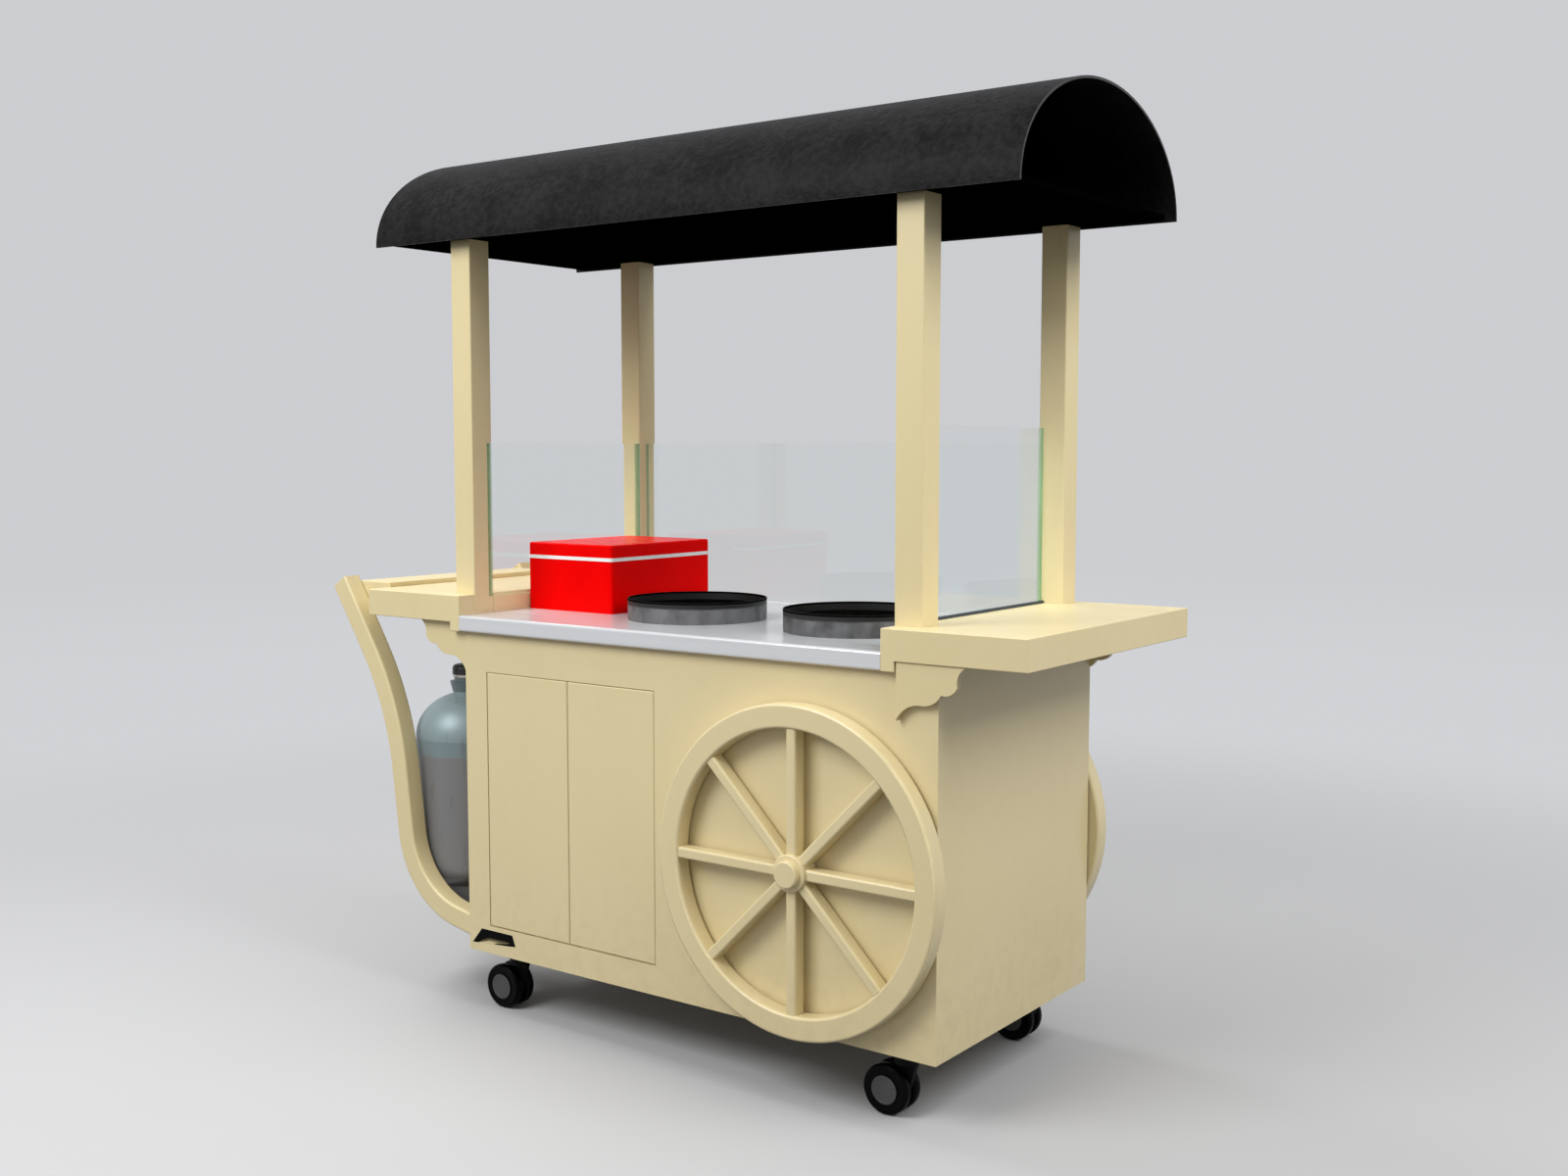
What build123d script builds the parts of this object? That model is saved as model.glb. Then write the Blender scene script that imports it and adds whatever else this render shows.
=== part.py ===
from build123d import *
from math import acos, cos, degrees, radians, sin, sqrt
import os

# Pancake cart: cabinet on casters with side shelves, posts and a vaulted canopy.
# X runs along the cart from the shafts to the free shelf, Y from front to back, Z up from the floor.
# The origin is on the floor, under the middle of the cart's outer box. All sizes are in millimetres.

# Fits and gaps
running_fit = 0.05
tight_fit = 0.01
glue_line = 0.1
seat_gap = 0.3
glass_gap = 0.5
swing_gap = 0.5

# Cabinet
shelf_seat = 115
cabinet_depth = 620
caster_height = 135
panel_thickness = 18
partition_place = 582
inner_shelf_height = 480

# Doors
door_margin = 66
door_opening_width = 491
door_opening_bottom = 198
door_head = 88
door_gap = 1.5
door_edge_radius = 3
pivot_radius = 3
pivot_setback = 6
pivot_edge = 9
pivot_depth = 8

# Vent
vent_sill = 152
vent_height = 36
vent_foot_margin = 9
vent_foot_width = 137
vent_top_margin = 39
vent_top_width = 97
vent_sill_rise = 12
vent_foot_lift = 11
vent_leg = 12
vent_head = 18
vent_wall = 10
vent_hood_depth = 32

# Worktop
worktop_length = 1120
worktop_height = 900
worktop_edge = 36
worktop_sheet_thickness = 2
worktop_bend = 6
front_overhang = 18
back_overhang = 60
cutout_radius = 134

# Side shelves and corbels
shelf_length = 305
shelf_thickness = 60
shelf_rise = 44
bearer_width = 30
corbel_thickness = 14
corbel_drop = 110
corbel_reach = 152
waist_reach = 58
waist_drop = 78
cusp_reach = 96
cusp_drop = 55
lobe_reach = 130
lobe_drop = 38
foot_cove = 11
belly_bow = 6
lobe_bow = 7
tip_cove = 9
right_corbel_margin = 83

# Posts
post_size = 60
post_front_inset = 48
post_back_inset = 22
post_edge_radius = 3

# Glass screens
glass_thickness = 10
right_glass_top = 1315
low_glass_top = 1284
glass_rebate = 15
glass_seat = 8

# Canopy
canopy_end_overhang = 270
canopy_side_inset = 14
canopy_rise = 225
canopy_sheet_thickness = 5
eave_height = 1731
eave_drop = 4
soffit_thickness = 12
soffit_inset = 25
former_width = 50
former_thickness = 40

# Shafts and push bar
shaft_width = 50
shaft_thickness = 46
shaft_edge_radius = 6
shaft_lean = 32.8
handle_reach = 455
knee_reach = 252
knee_height = 672
knee_bend = 660
heel_reach = 197
heel_height = 228
heel_bend = 200
shaft_root_height = 190
push_bar_width = 120
push_bar_thickness = 65
push_bar_rise = 11
push_bar_edge_radius = 12

# Cart wheels
wheel_place = 932
wheel_height = 461
wheel_radius = 327.5
rim_width = 48
rim_thickness = 40
rim_edge_radius = 6
wheel_standoff = 4
spoke_count = 8
spoke_width = 23
spoke_depth = 32
spoke_edge_radius = 5
hub_radius = 37
hub_reach = 47
hub_edge_radius = 3
cap_radius = 27
cap_reach = 60
cap_edge_radius = 4
axle_radius = 10
axle_length = 40
axle_flange_radius = 32
axle_flange_thickness = 6

# Casters
caster_inset = 100
caster_track_inset = 60
caster_trail = 33
caster_plate_size = 78
caster_plate_thickness = 4
caster_wheel_radius = 50
caster_wheel_width = 21
caster_tyre_round = 7
caster_hub_radius = 26
caster_hub_step = 1.5
caster_axle_radius = 5
caster_axle_grip = 13
caster_web_width = 12
caster_web_radius = 40
caster_side_gap = 1
caster_head_radius = 24
caster_head_height = 27
king_pin_radius = 7
king_pin_length = 20

# Gas cylinder and its tray
cylinder_reach = 185
cylinder_setback = 175
cylinder_radius = 122
cylinder_wall = 3
cylinder_foot_radius = 100
cylinder_foot_height = 32
cylinder_foot_bend = 60
cylinder_side_height = 362
cylinder_dome_rise = 103
cylinder_neck_radius = 34
cylinder_neck_height = 2
cylinder_bore_radius = 12
tray_radius = 106
tray_height = 190
tray_wall = 3
tray_rim = 20
valve_collar_radius = 40
valve_collar_height = 24
valve_body_radius = 30
valve_body_height = 17
valve_ring_radius = 33
valve_ring_height = 6
valve_outlet_radius = 7
valve_outlet_reach = 52
valve_spindle_radius = 6
handwheel_radius = 34
handwheel_height = 23
handwheel_dome = 10
handwheel_grips = 8
handwheel_grip_radius = 5
handwheel_bore_depth = 16

# Cool box
cool_box_margin = 2
cool_box_setback = 200
cool_box_length = 260
cool_box_depth = 350
cool_box_body_height = 118
cool_box_wall = 22
cool_box_edge_radius = 8
cool_box_seal_height = 8
cool_box_seal_overhang = 1
cool_box_lid_height = 29
cool_box_lid_edge_radius = 5
lid_hinge_setback = 7
lid_hinge_drop = 4
lid_hinge_radius = 5.5
lid_pin_radius = 2.5
lid_knuckle_length = 34
lid_knuckle_gap = 0.5
lid_knuckle_count = 5
lid_web_height = 8

# Griddles and burners
left_griddle_place = 465
right_griddle_margin = 232
griddle_setback = 255
griddle_radius = 153
griddle_height = 46
griddle_wall = 3
griddle_ledge_width = 12
griddle_ledge_height = 20
griddle_ledge_thickness = 3
griddle_plate_thickness = 8
burner_radius = 85
burner_height = 22
burner_well_radius = 45
burner_well_depth = 8
burner_sink = 16
burner_arm_count = 3
burner_arm_reach = 146
burner_arm_width = 18
burner_arm_thickness = 4
mixing_tube_radius = 13
mixing_tube_length = 40

# Gas manifold and taps
manifold_setback = 110
manifold_drop = 54
manifold_radius = 10
manifold_length = 350
left_griddle_tap_place = 330
right_griddle_tap_place = 200
tap_body_radius = 15
tap_body_length = 34
tap_spindle_radius = 4
tap_knob_radius = 20
tap_knob_height = 22
tap_knob_grips = 6
tap_knob_grip_radius = 4
tap_knob_bore_depth = 16
supply_radius = 6
supply_bend = 30
supply_step = 65
inlet_nut_radius = 17
inlet_nut_length = 12
inlet_nipple_radius = 7
inlet_nipple_length = 34

# Reference planes
lean_side = sin(radians(shaft_lean))
lean_up = cos(radians(shaft_lean))
grip_run = (handle_reach - knee_reach - shaft_width / 2 * lean_up) / lean_side
cabinet_left = (handle_reach - worktop_length - shelf_length) / 2
cabinet_right = cabinet_left + worktop_length + shelf_seat
cabinet_front = -cabinet_depth / 2
cabinet_back = cabinet_depth / 2
cabinet_bottom = caster_height
cabinet_top = worktop_height - worktop_edge
door_opening_top = cabinet_top - door_head
manifold_height = cabinet_top - manifold_drop
inner_left = cabinet_left + panel_thickness
inner_right = cabinet_right - panel_thickness
inner_front = cabinet_front + panel_thickness
inner_back = cabinet_back - panel_thickness
worktop_right = cabinet_left + worktop_length
worktop_front = cabinet_front - front_overhang
worktop_back = cabinet_back + back_overhang
shelf_top = worktop_height + shelf_rise
shelf_bottom = shelf_top - shelf_thickness
glass_bottom = shelf_top - glass_seat
left_post = cabinet_left - post_size
right_post = worktop_right
front_post = worktop_front + post_front_inset
back_post = worktop_back - post_back_inset - post_size
post_top = eave_height + eave_drop
canopy_middle_x = (cabinet_left + worktop_right) / 2
canopy_middle_y = (worktop_front + worktop_back) / 2
canopy_length = worktop_length + 2 * canopy_end_overhang
canopy_depth = worktop_back - worktop_front - 2 * canopy_side_inset
canopy_left = canopy_middle_x - canopy_length / 2
soffit_top = post_top + soffit_thickness
wheel_x = cabinet_left + wheel_place
door_left = cabinet_left + door_margin
door_right = door_left + door_opening_width
pivot_y = cabinet_front + pivot_setback
pivot_places = (door_left + door_gap + pivot_edge, door_right - door_gap - pivot_edge)
cylinder_x = cabinet_left - cylinder_reach
cylinder_y = cabinet_front + cylinder_setback
griddle_y = cabinet_front + griddle_setback
manifold_y = cabinet_front + manifold_setback

os.makedirs("parts", exist_ok=True)


def save(piece, name):
    """Label a finished piece and write it to its own file."""
    piece.part.label = name
    export_step(piece.part, f"parts/{name}.step")


def facing_front(y):
    """Upright plane that faces the front: x along the cart, y upwards."""
    return Plane.XZ.offset(-y)


def along_cart(origin):
    """Upright plane at a point, with its normal along the cart."""
    return Plane(origin, x_dir=(0, 1, 0), z_dir=(1, 0, 0))


def towards_front(origin):
    """Upright plane at a point, with its normal towards the front."""
    return Plane(origin, x_dir=(1, 0, 0), z_dir=(0, -1, 0))


def block(corner, opposite, mode=Mode.ADD):
    """Square-edged block between two opposite corners."""
    low = tuple(min(pair) for pair in zip(corner, opposite))
    size = [abs(b - a) for a, b in zip(corner, opposite)]
    with Locations(low):
        Box(*size, align=(Align.MIN, Align.MIN, Align.MIN), mode=mode)


def rod(plane, radius, length, mode=Mode.ADD):
    """Round bar that rises from a plane's origin along its normal."""
    with BuildSketch(plane) as section:
        Circle(radius)
    extrude(section.sketch, amount=length, mode=mode)


def nearest_circle(piece, plane):
    """Round edge of a piece that lies nearest to a plane's origin."""
    return piece.edges().filter_by(GeomType.CIRCLE).sort_by_distance(plane.origin)[0]


# Front panel, with the door opening, the axle hole, the pivot holes and the vent's sloping tunnel
vent_left = cabinet_left + vent_foot_margin
vent_right = vent_left + vent_foot_width
vent_top = vent_sill + vent_height
vent_back = inner_front + vent_hood_depth


def vent_outline(leg, head):
    """Trapezoid of the vent, its right foot lifted, drawn in by its legs' width and its head's height."""
    top_left = cabinet_left + vent_top_margin
    Polygon(
        (vent_left + leg, vent_sill),
        (vent_right - leg, vent_sill + vent_foot_lift),
        (top_left + vent_top_width - leg, vent_top - head),
        (top_left + leg, vent_top - head),
        align=None,
    )


def cut_below_sill(back):
    """Cut away what lies below the vent's sloping sill and below its level run to the back."""
    with BuildSketch(Plane.YZ.offset(vent_left)) as wedge:
        Polygon(
            (cabinet_front, vent_sill),
            (inner_front, vent_sill + vent_sill_rise),
            (back, vent_sill + vent_sill_rise),
            (back, vent_sill),
            align=None,
        )
    extrude(wedge.sketch, amount=vent_foot_width, mode=Mode.SUBTRACT)


def side_panel_outline(step):
    """Front or back panel: at a step it rises from the worktop's underside to the right shelf's."""
    Polygon(
        (cabinet_left, cabinet_bottom),
        (cabinet_right, cabinet_bottom),
        (cabinet_right, shelf_bottom),
        (step, shelf_bottom),
        (step, cabinet_top),
        (cabinet_left, cabinet_top),
        align=None,
    )
    with Locations((wheel_x, wheel_height)):
        Circle(axle_radius + tight_fit, mode=Mode.SUBTRACT)


with BuildPart() as vent_tunnel:
    with BuildSketch(facing_front(inner_front)):
        vent_outline(0, 0)
    extrude(amount=panel_thickness)
    cut_below_sill(vent_back)

with BuildPart() as front_panel:
    with BuildSketch(facing_front(inner_front)):
        side_panel_outline(worktop_right + bearer_width)
        with Locations((door_left, door_opening_bottom)):
            Rectangle(
                door_opening_width,
                door_opening_top - door_opening_bottom,
                align=(Align.MIN, Align.MIN),
                mode=Mode.SUBTRACT,
            )
    extrude(amount=panel_thickness)
    add(vent_tunnel.part, mode=Mode.SUBTRACT)
    with BuildSketch(Plane.XY.offset(door_opening_bottom - pivot_depth)):
        with Locations([(x, pivot_y) for x in pivot_places]):
            Circle(pivot_radius + tight_fit)
    extrude(amount=door_opening_top - door_opening_bottom + 2 * pivot_depth, mode=Mode.SUBTRACT)
save(front_panel, "front_panel")

with BuildPart() as vent_hood:
    with BuildSketch(facing_front(vent_back)):
        vent_outline(0, 0)
    extrude(amount=vent_back - cabinet_front)
    with BuildSketch(facing_front(vent_back - vent_wall)):
        vent_outline(vent_leg, vent_head)
    extrude(amount=vent_back - vent_wall - cabinet_front, mode=Mode.SUBTRACT)
    cut_below_sill(vent_back)
save(vent_hood, "vent_hood")

# Rest of the cabinet
with BuildPart() as back_panel:
    with BuildSketch(facing_front(cabinet_back)):
        side_panel_outline(worktop_right + post_size)
    extrude(amount=panel_thickness)
save(back_panel, "back_panel")

with BuildPart() as left_end_panel:
    block((cabinet_left, inner_front, cabinet_bottom), (inner_left, inner_back, cabinet_top))
    rod(
        along_cart((cabinet_left, manifold_y, manifold_height)),
        manifold_radius + tight_fit,
        panel_thickness,
        mode=Mode.SUBTRACT,
    )
save(left_end_panel, "left_end_panel")

with BuildPart() as right_end_panel:
    block((inner_right, inner_front, cabinet_bottom), (cabinet_right, inner_back, shelf_bottom))
save(right_end_panel, "right_end_panel")

floor_top = cabinet_bottom + panel_thickness
with BuildPart() as floor_board:
    block((inner_left, inner_front, cabinet_bottom), (inner_right, inner_back, floor_top))
save(floor_board, "floor_board")

partition_left = cabinet_left + partition_place
with BuildPart() as partition:
    block(
        (partition_left, inner_front, floor_top),
        (partition_left + panel_thickness, inner_back, cabinet_top),
    )
    rod(
        along_cart((partition_left, griddle_y + supply_step, manifold_height)),
        supply_radius + tight_fit,
        panel_thickness,
        mode=Mode.SUBTRACT,
    )
save(partition, "partition")

with BuildPart() as inner_shelf:
    block(
        (inner_left, inner_front, inner_shelf_height),
        (partition_left, inner_back, inner_shelf_height + panel_thickness),
    )
save(inner_shelf, "inner_shelf")

# Doors on pivot pins; the back corner at the hinge is round, so that it clears the jamb
door_width = (door_opening_width - 3 * door_gap) / 2
door_thickness = panel_thickness - swing_gap
door_bottom = door_opening_bottom + door_gap
door_top = door_opening_top - door_gap
pin_hole_depth = pivot_depth + swing_gap

for name, pivot_x, outward in zip(("left_door", "right_door"), pivot_places, (-1, 1)):
    hinge_edge = pivot_x + outward * pivot_edge
    with BuildPart() as door:
        with BuildSketch(Plane.XY.offset(door_bottom)) as plan:
            with Locations((hinge_edge - outward * door_width / 2, cabinet_front)):
                Rectangle(door_width, door_thickness, align=(Align.CENTER, Align.MIN))
            back_corners = plan.vertices().group_by(Axis.Y)[-1].sort_by(Axis.X)
            fillet(back_corners[0 if outward < 0 else -1], radius=pivot_edge)
        extrude(amount=door_top - door_bottom)
        fillet(door.faces().sort_by(Axis.Y)[0].edges(), radius=door_edge_radius)
        for z in (door_bottom, door_top - pin_hole_depth):
            rod(
                Plane((pivot_x, pivot_y, z)),
                pivot_radius + running_fit,
                pin_hole_depth,
                mode=Mode.SUBTRACT,
            )
    save(door, name)

with BuildPart() as door_pivots:
    for z in (door_opening_bottom - pivot_depth, door_top - pivot_depth):
        with BuildSketch(Plane.XY.offset(z)):
            with Locations([(x, pivot_y) for x in pivot_places]):
                Circle(pivot_radius)
        extrude(amount=2 * pivot_depth + door_gap)
save(door_pivots, "door_pivots")

# Worktop: a board in a folded metal sheet, both cut out for the burners
griddle_places = (cabinet_left + left_griddle_place, worktop_right - right_griddle_margin)
griddle_centres = [(x, griddle_y) for x in griddle_places]


def worktop_section(inset):
    """Cross-section of the worktop with bent top edges, drawn in by the sheet's thickness or not."""
    bottom = (worktop_front + worktop_back) / 2, cabinet_top
    with Locations(bottom):
        Rectangle(
            worktop_back - worktop_front - 2 * inset,
            worktop_edge - inset,
            align=(Align.CENTER, Align.MIN),
        )


def burner_cutouts():
    """Round cut-outs through the whole worktop."""
    for x, y in griddle_centres:
        rod(Plane((x, y, cabinet_top)), cutout_radius, worktop_edge, mode=Mode.SUBTRACT)


with BuildPart() as worktop_board:
    with BuildSketch(Plane.YZ.offset(cabinet_left)) as board_section:
        worktop_section(worktop_sheet_thickness)
        top_corners = board_section.vertices().group_by(Axis.Z)[-1]
        fillet(top_corners, radius=worktop_bend - worktop_sheet_thickness)
    extrude(amount=worktop_length)
    burner_cutouts()
save(worktop_board, "worktop_board")

with BuildPart() as worktop_sheet:
    with BuildSketch(Plane.YZ.offset(cabinet_left)) as sheet_section:
        worktop_section(0)
        top_corners = sheet_section.vertices().group_by(Axis.Z)[-1]
        fillet(top_corners, radius=worktop_bend)
        add(board_section.sketch_local, mode=Mode.SUBTRACT)
    extrude(amount=worktop_length)
    burner_cutouts()
save(worktop_sheet, "worktop_sheet")

# Side shelves: each has a bearer under its inner end, notches for its posts and a rebate for its glass
for name, inner, outward in (("left_shelf", cabinet_left, -1), ("right_shelf", worktop_right, 1)):
    bearer_edge = inner + outward * bearer_width
    outer = inner + outward * shelf_length
    with BuildPart() as shelf:
        with BuildSketch(facing_front(worktop_back)):
            Polygon(
                (inner, cabinet_top),
                (inner, shelf_top),
                (outer, shelf_top),
                (outer, shelf_bottom),
                (bearer_edge, shelf_bottom),
                (bearer_edge, cabinet_top),
                align=None,
            )
        extrude(amount=worktop_back - worktop_front)
        for y in (front_post, back_post):
            block(
                (inner, y, cabinet_top),
                (inner + outward * post_size, y + post_size, shelf_top),
                mode=Mode.SUBTRACT,
            )
        block(
            (inner, front_post + post_size, glass_bottom),
            (inner + outward * (glass_thickness + glass_gap), back_post, shelf_top),
            mode=Mode.SUBTRACT,
        )
    save(shelf, name)


# Corbels: scrolled brackets against the cabinet, two at each end
def corbel(root, outward, y):
    """Bracket whose upright root edge stands at a given place and whose lobes run outwards."""

    def place(point):
        """Point of the outline, measured outwards from the root and up from the shelf."""
        return (root + outward * point[0], shelf_bottom + point[1])

    outline = [
        (0, -corbel_drop),
        (waist_reach, -waist_drop),
        (cusp_reach, -cusp_drop),
        (lobe_reach, -lobe_drop),
        (corbel_reach, 0),
    ]
    with BuildSketch(facing_front(y + corbel_thickness)) as profile:
        with BuildLine():
            for start, end, bow in zip(outline, outline[1:], (foot_cove, -belly_bow, -lobe_bow, tip_cove)):
                SagittaArc(place(start), place(end), outward * bow)
            Polyline(place(outline[-1]), place((0, 0)), place(outline[0]))
        make_face()
    extrude(profile.sketch, amount=corbel_thickness)


right_corbel_root = cabinet_right - right_corbel_margin
with BuildPart() as corbels:
    for y in (cabinet_front, cabinet_back - corbel_thickness):
        corbel(cabinet_left, -1, y)
    block(
        (cabinet_left - bearer_width, cabinet_front, cabinet_top),
        (cabinet_left, cabinet_back, shelf_bottom),
        mode=Mode.SUBTRACT,
    )
    for y in (cabinet_front - corbel_thickness, cabinet_back):
        corbel(right_corbel_root, 1, y)
    for x in (left_post, right_post):
        block(
            (x, back_post, cabinet_top),
            (x + post_size, back_post + post_size, shelf_bottom),
            mode=Mode.SUBTRACT,
        )
save(corbels, "corbels")

# Posts; the front ones are rebated for the side glass
side_glass = {"left": cabinet_left - glass_thickness, "right": worktop_right}
glass_tops = {"left": low_glass_top, "right": right_glass_top}
post_sides = (("left", left_post, cabinet_left, -1), ("right", right_post, worktop_right, 1))
for side, x, inner, outward in post_sides:
    for end, y in (("front", front_post), ("back", back_post)):
        with BuildPart() as post:
            block((x, y, cabinet_top), (x + post_size, y + post_size, post_top))
            fillet(post.edges().filter_by(Axis.Z), radius=post_edge_radius)
            if end == "front":
                block(
                    (inner, y + post_size - glass_rebate, glass_bottom),
                    (inner + outward * (glass_thickness + glass_gap), y + post_size, glass_tops[side] + glass_gap),
                    mode=Mode.SUBTRACT,
                )
        save(post, f"{end}_{side}_post")

# Glass screens
for side, x in side_glass.items():
    with BuildPart() as pane:
        block(
            (x, front_post + post_size - glass_rebate + glass_gap, glass_bottom),
            (x + glass_thickness, back_post - glass_gap, glass_tops[side]),
        )
    save(pane, f"{side}_glass")

back_glass_y = back_post + (post_size - glass_thickness) / 2
with BuildPart() as back_glass:
    block(
        (cabinet_left + glass_gap, back_glass_y, worktop_height),
        (worktop_right - glass_gap, back_glass_y + glass_thickness, low_glass_top),
    )
save(back_glass, "back_glass")


# Canopy: vaulted sheet over two formers and a flat soffit
def half_ellipse(inset, base, mode=Mode.ADD):
    """Half of the canopy's ellipse, drawn in by an inset and cut level at a base height."""
    with BuildSketch() as vault:
        with Locations((canopy_middle_y, eave_height)):
            Ellipse(canopy_depth / 2 - inset, canopy_rise - inset)
        with Locations((canopy_middle_y, base)):
            Rectangle(
                2 * canopy_depth,
                2 * canopy_rise,
                align=(Align.CENTER, Align.MAX),
                mode=Mode.SUBTRACT,
            )
    add(vault.sketch_local, mode=mode)


with BuildPart() as canopy_sheet:
    with BuildSketch(Plane.YZ.offset(canopy_left)):
        half_ellipse(0, eave_height)
        half_ellipse(canopy_sheet_thickness, eave_height, mode=Mode.SUBTRACT)
    extrude(amount=canopy_length)
save(canopy_sheet, "canopy_sheet")

vault_depth = canopy_depth / 2 - canopy_sheet_thickness
vault_rise = canopy_rise - canopy_sheet_thickness
soffit_share = (soffit_top - eave_height) / vault_rise
soffit_half = vault_depth * sqrt(1 - soffit_share**2) - seat_gap
with BuildPart() as canopy_soffit:
    block(
        (canopy_left + soffit_inset, canopy_middle_y - soffit_half, post_top),
        (canopy_left + canopy_length - soffit_inset, canopy_middle_y + soffit_half, soffit_top),
    )
save(canopy_soffit, "canopy_soffit")

former_outer = canopy_sheet_thickness + seat_gap
with BuildPart() as canopy_formers:
    for x in (left_post, right_post):
        with BuildSketch(Plane.YZ.offset(x + (post_size - former_thickness) / 2)):
            half_ellipse(former_outer, soffit_top)
            half_ellipse(former_outer + former_width, soffit_top, mode=Mode.SUBTRACT)
        extrude(amount=former_thickness)
save(canopy_formers, "canopy_formers")

# Swan-neck shafts with the push bar between their tops
grip_end = Vector(
    cabinet_left - knee_reach - grip_run * lean_side,
    knee_height + grip_run * lean_up,
)
knee = Vector(cabinet_left - knee_reach, knee_height)
heel = Vector(cabinet_left - heel_reach, heel_height)
root = Vector(cabinet_left, shaft_root_height)
past_root = root + (root - heel).normalized() * shaft_width
shaft_fronts = {"front_shaft": cabinet_front, "back_shaft": cabinet_back - shaft_thickness}
for name, y in shaft_fronts.items():
    with BuildPart() as shaft:
        with BuildSketch(facing_front(y + shaft_thickness)):
            with BuildLine():
                FilletPolyline(grip_end, knee, heel, past_root, radius=[knee_bend, heel_bend])
            trace(line_width=shaft_width)
        extrude(amount=shaft_thickness)
        long_edges = [
            edge
            for face in shaft.faces().filter_by(Axis.Y)
            for edge in face.edges()
            if edge.length > shaft_width + glue_line
        ]
        fillet(long_edges, radius=shaft_edge_radius)
        split(bisect_by=Plane.YZ.offset(cabinet_left), keep=Keep.BOTTOM)
    save(shaft, name)

shelf_end = cabinet_left - shelf_length
push_bar_top = shelf_top + push_bar_rise
with BuildPart() as push_bar:
    block(
        (shelf_end - push_bar_width, cabinet_front + shaft_thickness, push_bar_top - push_bar_thickness),
        (shelf_end, cabinet_back - shaft_thickness, push_bar_top),
    )
    fillet(push_bar.edges().filter_by(Axis.Y).group_by(Axis.X)[0], radius=push_bar_edge_radius)
save(push_bar, "push_bar")

# Tray and gas cylinder
with BuildPart() as cylinder_tray:
    with BuildSketch(Plane.XY.offset(tray_height)):
        with Locations((cylinder_x, cylinder_y)):
            Circle(tray_radius)
            Rectangle(cylinder_reach, 2 * tray_radius, align=(Align.MIN, Align.CENTER))
    extrude(amount=tray_rim)
    tray_mouth = cylinder_tray.faces().sort_by(Axis.Z)[-1]
    offset(amount=-tray_wall, openings=tray_mouth)
save(cylinder_tray, "cylinder_tray")

cylinder_base = tray_height + tray_wall
cylinder_floor = cylinder_base + cylinder_foot_height
shoulder = cylinder_floor + cylinder_side_height
cylinder_axis = Axis((cylinder_x, cylinder_y, 0), (0, 0, 1))
cylinder_plane = towards_front((cylinder_x, cylinder_y, 0))


def cylinder_profile(inset):
    """Half section of the vessel from its floor to its neck, drawn in by its wall or not."""
    radius = cylinder_radius - inset
    rise = cylinder_dome_rise - inset
    neck = cylinder_bore_radius if inset else cylinder_neck_radius
    dome_end = degrees(acos(neck / radius))
    neck_top = shoulder + cylinder_dome_rise + cylinder_neck_height
    bottom = cylinder_floor + inset
    bend = cylinder_foot_bend - inset
    with BuildLine() as half_section:
        Line((0, bottom), (radius - bend, bottom))
        RadiusArc((radius - bend, bottom), (radius, bottom + bend), -bend)
        Line((radius, bottom + bend), (radius, shoulder))
        dome = EllipticalCenterArc((0, shoulder), radius, rise, start_angle=0, arc_size=dome_end)
        Polyline(dome @ 1, (neck, neck_top), (0, neck_top), (0, bottom))
    make_face(half_section.line)


with BuildPart() as gas_cylinder:
    with BuildSketch(cylinder_plane):
        cylinder_profile(0)
        with Locations((cylinder_foot_radius, cylinder_base)):
            Rectangle(
                cylinder_wall,
                cylinder_foot_height + cylinder_foot_bend / 2,
                align=(Align.MAX, Align.MIN),
            )
    revolve(axis=cylinder_axis)
    with BuildSketch(cylinder_plane):
        cylinder_profile(cylinder_wall)
    revolve(axis=cylinder_axis, mode=Mode.SUBTRACT)
save(gas_cylinder, "gas_cylinder")

valve_base = shoulder + cylinder_dome_rise + cylinder_neck_height
valve_shoulder = valve_base + valve_collar_height
valve_top = valve_shoulder + valve_body_height
handwheel_base = valve_top + seat_gap
spindle_length = handwheel_bore_depth - swing_gap
with BuildPart() as cylinder_valve:
    with BuildSketch(Plane((cylinder_x, cylinder_y, valve_base))):
        Circle(cylinder_neck_radius)
    with BuildSketch(Plane((cylinder_x, cylinder_y, valve_shoulder))):
        Circle(valve_collar_radius)
    loft(ruled=True)
    rod(Plane((cylinder_x, cylinder_y, valve_shoulder)), valve_body_radius, valve_body_height)
    rod(
        Plane((cylinder_x, cylinder_y, valve_top - valve_ring_height)),
        valve_ring_radius,
        valve_ring_height,
    )
    outlet_height = valve_shoulder + valve_body_height / 2
    rod(
        along_cart((cylinder_x, cylinder_y, outlet_height)),
        valve_outlet_radius,
        valve_outlet_reach,
    )
    rod(Plane((cylinder_x, cylinder_y, valve_top)), valve_spindle_radius, spindle_length)
save(cylinder_valve, "cylinder_valve")

with BuildPart() as valve_handwheel:
    handwheel_plane = Plane((cylinder_x, cylinder_y, handwheel_base))
    rod(handwheel_plane, handwheel_radius, handwheel_height)
    fillet(nearest_circle(valve_handwheel, handwheel_plane.offset(handwheel_height)), radius=handwheel_dome)
    with BuildSketch(handwheel_plane):
        with PolarLocations(handwheel_radius + handwheel_grip_radius / 2, handwheel_grips):
            Circle(handwheel_grip_radius)
    extrude(amount=handwheel_height, mode=Mode.SUBTRACT)
    rod(
        handwheel_plane,
        valve_spindle_radius + running_fit,
        handwheel_bore_depth,
        mode=Mode.SUBTRACT,
    )
save(valve_handwheel, "valve_handwheel")

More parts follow.
